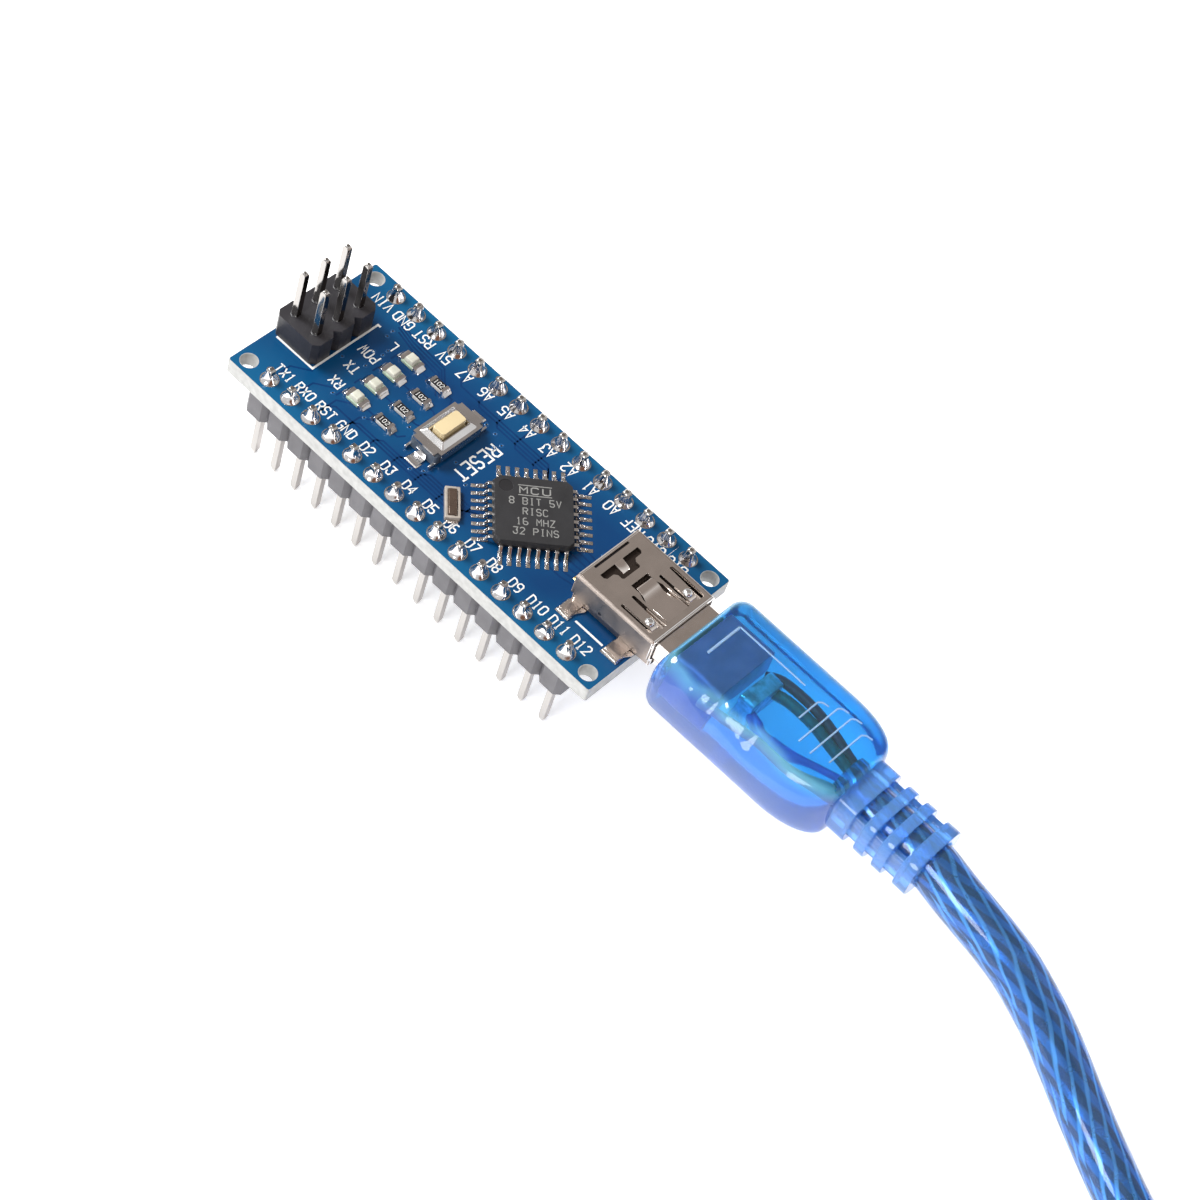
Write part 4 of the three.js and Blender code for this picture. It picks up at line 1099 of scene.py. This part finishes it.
clips = [block(0.22, 0.75, 0.0, 0.4, u * 1.4, v * 3.15, 0.04) for u in (-1, 1) for v in (-1, 1)]
piece("switch_clips", on_switch(merged(*clips)), "switch_steel")
piece("snap_dome_sheet", node_shape("snap_dome", 0.02), "switch_steel", "snap_dome")

# ---- USB socket

SOCKET_BACK, SOCKET_MOUTH = SOCKET_LOW.x, SOCKET_HIGH.x
SHELL_TOP = AXIS_Z + 1.93
SHELL_HALF = 3.83
SHEET = 0.28


# Half of the socket's outline across, from the bend beside its flat top round to its underside.
def shell_profile(inset):
    top, half, corner = SHELL_TOP - inset, SHELL_HALF - inset, 0.3 - inset * 0.7
    turns = [math.radians(15 * k) for k in range(7)]
    bend = [(half - corner + corner * math.sin(a), top - corner + corner * math.cos(a)) for a in turns]
    low = AXIS_Z - 1.93 + inset
    waist = half - 0.5
    return bend + [(half, AXIS_Z - 0.4), (waist, AXIS_Z - 0.95), (waist, low + 0.25), (waist - 0.25, low)]


# The socket's bent sheet from x0 to x1, open on top, where the deck lies.
def shell_walls(x0, x1):
    outer, inner = shell_profile(0), shell_profile(SHEET)
    loop = outer + [(-y, z) for y, z in reversed(outer)]
    back = inner + [(-y, z) for y, z in reversed(inner)]
    outline = loop + back[::-1]
    count = len(outline)
    vertices = [Vector((x, y, z)) for x in (x0, x1) for y, z in outline]
    faces = [[i, (i + 1) % count, (i + 1) % count + count, i + count] for i in range(count)]
    half = count // 2
    for base, flip in ((0, 1), (count, -1)):
        for i in range(half - 1):
            faces.append([base + i, base + i + 1, base + count - 2 - i, base + count - 1 - i][::flip])
    return from_bmesh(to_bmesh((vertices, faces)))


FLAT = SHELL_HALF - 0.3
LEAF_Y, LEAF_SHEET = 2.37, 0.2
T_SLOT = [(15.55, 2.3), (15.98, 2.3), (16.2, 2.1), (16.22, 1.35), (16.5, 1.1), (16.95, 1.1), (17.08, 0.95)]
TONGUE_SLOT = [(17.9, 1.0), (18.9, 1.0), (19.5, 1.25), (22.35, 1.42)]


# A whole outline from its +Y half.
def mirrored(half):
    return [(x, -y) for x, y in half] + half[::-1]


top_holes = [mirrored(T_SLOT), mirrored(TONGUE_SLOT), rounded(14.62, 14.85, -2.1, 2.1, 0.08)]
top_holes += [rounded(18.7, 22.45, y - 0.84, y + 0.84, 0.15, 3) for y in (-LEAF_Y, LEAF_Y)]
deck_x = (SOCKET_BACK + 0.12, SOCKET_MOUTH - 0.12)
deck_outline = [(deck_x[0], -FLAT), (deck_x[1], -FLAT), (deck_x[1], FLAT), (deck_x[0], FLAT)]
deck = plate(deck_outline, SHELL_TOP - SHEET, SHELL_TOP, top_holes, soft=0.045)
piece("socket_deck", deck, "socket_steel", "usb_socket_shell")
# The side walls take a darker copy of the deck's steel: painted shade.
piece("socket_walls", shell_walls(SOCKET_BACK + 0.05, SOCKET_MOUTH - 0.12), "side_steel_shaded")


# Rolled edges round the two ends of the socket.
def rolled_edge(x, reach, bulge):
    section = [(0.0, 0.0), (reach * 0.5, 0.06), (reach, 0.0), (reach, 0.26), (0.0, 0.26)]
    loop = [Vector((0, SHELL_TOP + bulge))] + [Vector(p) for p in shell_profile(-bulge)]
    loop += [Vector((-p.x, p.y)) for p in reversed(loop[1:])]
    rings = []
    for i, p in enumerate(loop):
        ahead = (loop[(i + 1) % len(loop)] - loop[i - 1]).normalized()
        inward = Vector((-ahead.y, ahead.x))
        if inward.dot(Vector((0, AXIS_Z)) - p) < 0:
            inward = -inward
        rings.append([(x + u, *(p + inward * deep)) for u, deep in section])
    return loft(rings, closed=True)


# The front lip takes brighter metal than the rest of the sheet: a painted highlight along the rolled edge.
piece("socket_front_lip", rolled_edge(SOCKET_MOUTH - 0.22, 0.2, 0.03), "bright_metal")
piece("socket_back_lip", rolled_edge(SOCKET_BACK + 0.02, 0.22, 0.02), "socket_steel")


# A leaf cut out of the socket's top, bent down towards its free end.
def leaf(stations):
    rings = [[(x, y0, z - LEAF_SHEET), (x, y1, z - LEAF_SHEET), (x, y1, z), (x, y0, z)]
             for x, y0, y1, z in stations]
    return soften(loft(rings), 0.035)


TONGUE = [(22.45, 1.32, 0.01), (21.8, 1.24, 0.02), (21.1, 1.17, 0.17), (20.4, 1.1, 0.36), (19.8, 1.05, 0.32),
          (19.3, 1.0, 0.04), (18.85, 0.96, -0.12), (18.5, 0.92, -0.1), (18.25, 0.85, 0.12), (18.1, 0.75, 0.5)]
tongues = [leaf([(x, -half, half, SHELL_TOP - drop) for x, half, drop in TONGUE])]
tongues.append(leaf([(15.4, -0.5, 0.5, SHELL_TOP - 0.02), (15.9, -0.48, 0.48, SHELL_TOP - 0.12),
                    (16.45, -0.45, 0.45, SHELL_TOP - 0.28), (16.75, -0.42, 0.42, SHELL_TOP - 0.55)]))
# The tongues take the lighter copy of the socket steel: painted highlight.
piece("socket_tongues", merged(*tongues), "leaf_steel_lit")
LEAF = [(18.6, 0.56, 0.01), (20.6, 0.5, 0.05), (21.6, 0.46, 0.12), (22.05, 0.42, 0.32)]
leaves = [leaf([(x, side * LEAF_Y - half, side * LEAF_Y + half, SHELL_TOP - drop) for x, half, drop in LEAF])
          for side in (-1, 1)]
piece("socket_leaves", merged(*leaves), "socket_steel")
dome = lathe([(0.46, -0.16), (0.45, 0.0), (0.38, 0.13), (0.24, 0.22), (0.03, 0.26)], 24)
dimples = [moved(dome, 21.35, side * LEAF_Y, SHELL_TOP - 0.12) for side in (-1, 1)]
# The dimples take brighter metal than the sheet: painted highlights on the bumps.
piece("socket_dimples", merged(*dimples), "bright_metal")
ceiling = SHELL_TOP - SHEET
# A thin near-black sheet just under the deck: painted shade, seen through the deck's slots.
room = slab(SOCKET_BACK + 0.4, SOCKET_MOUTH - 3.0, -2.9, 2.9, ceiling - 0.14, ceiling - 0.1)
piece("socket_shade_sheet", room, "painted_socket_shade")
tabs, joints = [], []
TAB_Y = 4.95
for x0, x1 in ((SOCKET_BACK - 0.1, 15.7), (19.45, 21.2)):
    for side in (-1, 1):
        ends = sorted((side * 3.2, side * TAB_Y))
        tabs.append(slab(x0 + 0.15, x1 - 0.15, *ends, SEAT + 0.02, SEAT + 0.3, 0.06))
        blob = tapered(x1 - x0 + 0.1, 1.9, -0.015, 0.26, 0.16, 0.08, (x0 + x1) / 2, side * (TAB_Y - 0.55))
        joints.append(moved(uneven(blob, 0.1, 0.7, x0 + side), z=SEAT))
        brace = [(x1 + x, side * y) for x, y in ((-0.15, 3.3), (0.35, 3.3), (0.35, 3.6), (-0.15, 4.6))]
        tabs.append(plate(brace[::side], SEAT, SEAT + 0.16, soft=0.03))
piece("socket_tabs", merged(*tabs), "socket_steel")
piece("socket_solder", merged(*joints), "rough_solder")
piece("socket_tongue", node_shape("usb_socket_tongue", 0.08), "black_plastic", "usb_socket_tongue")
for i in range(5):
    name = f"usb_socket_contact_{i + 1}"
    piece(f"socket_contact_{i + 1}", node_shape(name, 0.02), "gold_contact", name)
side_holes = []
for side in (-1, 1):
    place = Matrix.Translation((17.5, side * (SHELL_HALF - 0.01), AXIS_Z - 0.1))
    sideways = Matrix.Rotation(-side * math.pi / 2, 4, "X")
    side_holes.append(moved(lathe([(0.16, 0), (0.16, 0.02)], 16), matrix=place @ sideways))
# Dark discs on the walls: painted shade for the socket's side holes.
piece("socket_side_holes", merged(*side_holes), "dimple_and_hole_shade")

# ---- mini USB plug

piece("plug_shell", node_shape("mini_plug_shell", 0.05), "socket_steel", "mini_plug_shell", CABLE)
piece("plug_insert", node_shape("mini_plug_insert", 0.06), "black_plastic", "mini_plug_insert", CABLE)
can = across(centred(3.5, 2.05, 0.5), extent("mini_plug_can")[0].x, 30.2, soft=0.1, z=AXIS_Z)
piece("plug_can", can, "dark_can", "mini_plug_can", CABLE)
crimp = across(rounded(-1.9, 2.1, -1.4, 1.4, 0.4), 31.0, 32.6, soft=0.15, z=AXIS_Z)
piece("plug_crimp", uneven(crimp, 0.12, 0.9, 5), "crimp_metal", body=CABLE)


# The wires in the mould, from the crimp to the cord: finish, radius, and points with z from the plug's axis.
WIRES = {
    "maroon": ("wire_red", 0.5, [(30.9, 1.9, 0.0), (32.2, 2.5, 0.4), (35, 2.55, 0.6), (37.2, 2.3, 0.5),
                                 (39, 1.9, 0.3), (42, 1.1, 0), (45, 0.3, 0)]),
    "pink": ("wire_pink", 0.42, [(29, -4.2, 1.0), (31.5, -4.3, 1.6), (35, -4.0, 1.9), (38.5, -3.9, 1.8),
                                 (42, -2.0, 0.6), (45, -0.6, -0.2)]),
    "teal": ("wire_green", 0.55, [(31.5, 0.9, 0.0), (33.7, 1.4, 0.3), (36.5, 1.35, 0.4), (38.9, 1.0, 0.2),
                                  (42, 0.5, 0), (45, 0.1, 0.3)]),
    "violet": ("wire_violet", 0.36, [(31.5, -1.2, -0.4), (34, -2.1, 0.2), (37, -2.2, 0.3), (40, -1.1, 0),
                                     (42, -0.5, 0), (45, -0.1, -0.4)]),
}
for name, (finish, radius, points) in WIRES.items():
    way = smooth_line([(x, y, AXIS_Z + z) for x, y, z in points], 5)
    piece(f"wire_{name}", tube(way, radius, 10), finish, body=CABLE)

FRONT_X = MOULD_LOW.x
HALF = MOULD_HIGH.y
THICK = (MOULD_HIGH.z - MOULD_LOW.z) / 2
BACK_X = 43.0


# How far the -Y top edge dips in along the grip, for the thumb: [x, dip].
THUMB_WAVE = [(24, 0.3), (26.3, 0.35), (28.1, 0), (29.6, 0.45), (30.7, 0.75), (31.9, 0.35), (33.3, 0.55),
              (34.9, 1.0), (36.6, 0.75), (38.8, 0.35), (41, 0.3), (43.5, 0.2)]


def thumb_dip(x):
    for (x0, a), (x1, b) in zip(THUMB_WAVE, THUMB_WAVE[1:]):
        if x0 <= x <= x1:
            t = (x - x0) / (x1 - x0)
            return a + (b - a) * (3 - 2 * t) * t * t
    return 0


NECK = 2.55
SHOULDER_X = BACK_X - 5.6


# The grip's plan from front to back along one side, drawn in by inset.
def grip_side(side, inset, dip):
    half = HALF - inset
    front, corner = FRONT_X + 0.55 * inset, 1.3
    points = []
    for k in range(9):
        a = math.radians(90 * k / 8)
        points.append((front + corner - corner * math.cos(a), half - corner + corner * math.sin(a)))
    steps = 60
    for k in range(1, steps + 1):
        points.append((front + corner + (SHOULDER_X - front - corner) * k / steps, half))
    back = BACK_X - 0.25 * inset
    for k in range(1, 15):
        a = math.radians(90 * k / 14)
        out = math.sin(a) ** 0.9
        wide = max(0, math.cos(a)) ** 0.9
        points.append((SHOULDER_X + (back - SHOULDER_X) * out, NECK + (half - NECK) * wide))
    return [(x, side * (y - dip * thumb_dip(x) * min(1, (back - x) / 2))) for x, y in points]


def grip():
    levels = [(-1.0, 1.5, 0), (-0.96, 1.0, 0), (-0.86, 0.55, 0), (-0.68, 0.2, 0), (-0.4, 0.03, 0),
              (0.0, 0.0, 0), (0.3, 0.03, 0.1), (0.52, 0.15, 0.4), (0.7, 0.38, 0.8), (0.84, 0.7, 1),
              (0.93, 1.1, 1), (0.985, 1.6, 0.9), (1.0, 2.2, 0.6)]
    rings = []
    for h, inset, dip in smooth_line(levels, 3):
        near, far = grip_side(-1, inset, dip), grip_side(1, inset, 0)
        rings.append([(x, y, AXIS_Z + THICK * h) for x, y in near + far[::-1]])
    return loft(rings)


# A ridge with a rounded back, moulded on the grip's top.
def ridge_line(points, width, z0, z1):
    return soften(ribbon(points, width, z0, z1), width * 0.3, 3)


GRIP_TOP = AXIS_Z + THICK
RIDGE = (0.17, GRIP_TOP - 0.06, GRIP_TOP + 0.06)
CORNER_RIDGE = (26.9, 2.3)
ridges = [ridge_line([CORNER_RIDGE, (26.9, -1.75)], 0.26, *RIDGE[1:]),
          ridge_line([(34.2, 2.3), CORNER_RIDGE], *RIDGE)]
for x, low_y, high_y in ((35.93, -0.5, 1.9), (37.4, -2.2, 2.75), (38.76, -2.35, 2.85), (40.36, -1.75, 2.35)):
    hook = [(x, low_y), (x, high_y), (x + 0.3, high_y + 0.3), (x + 0.9, high_y + 0.4)]
    ridges.append(ridge_line(hook, *RIDGE))
piece("plug_grip", grip(), "blue_mould", "mini_plug_overmould", CABLE, sharp=60, even=False)
# The ribs wear the paler blue: a painted highlight along each ridge.
piece("plug_grip_ribs", merged(*ridges), "rib_highlight_blue", body=CABLE)


# The strain relief: flat rings on a sleeve, joined by a rail on each side.
bore = circle(0, 0, CORD / 2 + 0.02, 24)
relief = [across(centred(3.25, 2.4, 1.3, 5), BACK_X - 0.4, 44.76, [bore], 0.3, AXIS_Z)]
for x0, x1, half in ((45.8, 46.85, 3.3), (47.75, 48.8, 3.3), (50.0, RELIEF_END, 3.25)):
    ring = across(centred(half, half - 0.85, 1.7, 9), x0, x1, [bore], z=AXIS_Z)
    relief.append(soften(ring, 0.46, 3))
for side in (-1, 1):
    rail = rounded(*sorted((side * 2.0, side * 2.75)), -1.4, 1.4, 0.3)
    relief.append(across(rail, 44.3, 50.4, soft=0.12, z=AXIS_Z))
piece("plug_strain_relief", merged(*relief), "milky_mould", body=CABLE)

# ---- coil tie and far plug

TIE = middle("coil_tie")
TIE_WIDTH, TIE_SHEET = 5.0, 0.5
tie_half, tie_rise = CORD / 2 + 0.3 + TIE_SHEET, extent("coil_tie")[1].z - TIE.z


def tie_loop(inset, y):
    return [(u, y, v) for u, v in centred(tie_half - inset, tie_rise - inset, 1.2 - inset, 6)]


def tie_band():
    half = TIE_WIDTH / 2
    stations = [(0.12, -half), (0, 0.12 - half), (0, half - 0.12), (0.12, half), (TIE_SHEET, half),
                (TIE_SHEET, -half)]
    return loft([tie_loop(inset, y) for inset, y in stations], closed=True)


tie_angle = math.atan2(TIE.y - COIL.y, TIE.x - COIL.x)
piece("coil_tie_band", moved(tie_band(), TIE.x, TIE.y, TIE.z, tie_angle), "tie_rubber", "coil_tie", CABLE)
piece("far_plug_grip", node_shape("usb_a_overmould", 0.35, 3), "far_mould", "usb_a_overmould", CABLE)
piece("far_plug_shell", node_shape("usb_a_shell", 0.06), "bright_metal", "usb_a_shell", CABLE)
piece("far_plug_tongue", node_shape("usb_a_tongue", 0.08), "white_plastic", "usb_a_tongue", CABLE)
tongue_low, tongue_high = extent("usb_a_tongue")
contacts = [block(6.4, 1.0, tongue_high.z - 1.85, tongue_high.z - 1.78, tongue_low.x + 4.4, FAR_Y + y, 0.02)
            for y in (-3.5, -1.25, 1.25, 3.5)]
piece("far_plug_contacts", merged(*contacts), "gold_contact", body=CABLE)

# ---- parts on the underside

UNDER_Z = BOTTOM - 0.02


# A shape made standing on the origin, hung upside down under the board at a node's middle.
def under(shape, node, turn=0.0):
    place = middle(node)
    flip = Matrix.Translation((place.x, place.y, UNDER_Z)) @ Matrix.Rotation(math.pi, 4, "X")
    return moved(shape, matrix=flip @ Matrix.Rotation(turn, 4, "Z"))


def lead_rows(count, pitch, start, lead):
    made = []
    for side in (-1, 1):
        for i in range(count):
            placed = moved(moved(lead, start), turn=side * math.pi / 2)
            made.append(moved(placed, (i - (count - 1) / 2) * pitch))
    return merged(*made)


def pads_row(count, pitch, reach, width):
    return merged(*[block(width, 0.9, -0.015, 0.1, (i - (count - 1) / 2) * pitch, side * reach, 0.04)
                    for side in (-1, 1) for i in range(count)])


chip = merged(tapered(9.9, 3.9, 0.1, 0.8, -0.06), tapered(10.02, 4.02, 0.78, 1.5, 0.18))
piece("serial_chip_body", under(chip, "usb_serial_chip"), "chip_plastic", "usb_serial_chip")
SERIAL_LEADS = (8, 1.27)  # leads a side and their pitch
leads = lead_rows(*SERIAL_LEADS, 1.9, gull(1.05, 0.6, 0.2, 0.42))
piece("serial_chip_leads", under(leads, "usb_serial_chip"), "lead_metal")
piece("serial_chip_pads", under(pads_row(*SERIAL_LEADS, 2.75, 0.55), "usb_serial_chip"), "rough_solder")
dot_mark = moved(lathe([(0.4, 1.48), (0.4, 1.51), (0.3, 1.515)], 20), -4.2, -1.2)
piece("serial_chip_mark", under(dot_mark, "usb_serial_chip"), "laser_mark")
crystal = merged(tapered(5, 3.2, 0.0, 0.25, 0.0, 0.08), tapered(4.6, 2.8, 0.2, 1.1, 0.1, 0.3))
piece("crystal_can", under(crystal, "usb_crystal", math.pi / 2), "bright_metal", "usb_crystal")
reg = merged(tapered(6.4, 3.4, 0.05, 0.8, -0.05), tapered(6.5, 3.5, 0.78, 1.65, 0.2))
piece("regulator_body", under(moved(reg, y=-0.05), "voltage_regulator"), "chip_plastic", "voltage_regulator")
reg_lead = moved(moved(gull(1.7, 0.7, 0.25, 0.7), 1.7), turn=-math.pi / 2)
reg_leads = [block(3.0, 1.9, 0.0, 0.25, 0, 2.5, 0.05)] + [moved(reg_lead, x) for x in (-2.3, 0, 2.3)]
piece("regulator_leads", under(merged(*reg_leads), "voltage_regulator"), "lead_metal")
TANTALUM = (3.2, 1.6, 1.6, "tantalum", math.pi / 2)
MOULDED = [("power_diode", 4.2, 2.6, 2.0, "chip_plastic", 0), ("tantalum_capacitor_1", *TANTALUM),
           ("tantalum_capacitor_2", *TANTALUM)]
for node, length, width, height, finish, turn in MOULDED:
    body = tapered(length, width, 0.05, height, 0.12, 0.08)
    piece(f"{node}_body", under(body, node, turn), finish, node)
    feet = [block(0.55, width * 0.55, -0.01, 0.75, s * length / 2, 0, 0.05) for s in (-1, 1)]
    piece(f"{node}_feet", under(merged(*feet), node, turn), "lead_metal")
    band = tapered(0.5, width - 0.14, height - 0.1, height + 0.012, 0.01, 0.0, -length / 2 + 0.65)
    piece(f"{node}_band", under(band, node, turn), "tantalum_band" if finish == "tantalum" else "laser_mark")
ARRAY, CERAMIC = (3.2, 1.6, 0.55, "resistor_glass"), (1.6, 0.8, 0.8, "capacitor_ceramic")
CHIP_PARTS = [("usb_fuse", 3.2, 1.6, 0.8, "chip_plastic")]
CHIP_PARTS += [(f"resistor_array_{k}", *ARRAY) for k in (1, 2)]
CHIP_PARTS += [(f"ceramic_capacitor_{k}", *CERAMIC) for k in (1, 2, 3)]
for node, length, width, height, finish in CHIP_PARTS:
    body = block(length - 0.5, width - 0.04, 0.02, height, soft=0.05)
    piece(f"{node}_body", under(body, node), finish, node)
    ends = []
    for s in (-1, 1):
        if "array" in node:
            ends += [block(0.42, 0.3, 0, height + 0.02, (i - 1.5) * 0.76, s * (width / 2 - 0.1), 0.04)
                     for i in range(4)]
        else:
            ends.append(block(0.4, width, 0, height + 0.02, s * (length / 2 - 0.2), 0, 0.06))
            ends.append(fillet(s * length / 2, 0.35, width, height * 0.7, s, 70 + s))
    piece(f"{node}_ends", under(merged(*ends), node), "solder")
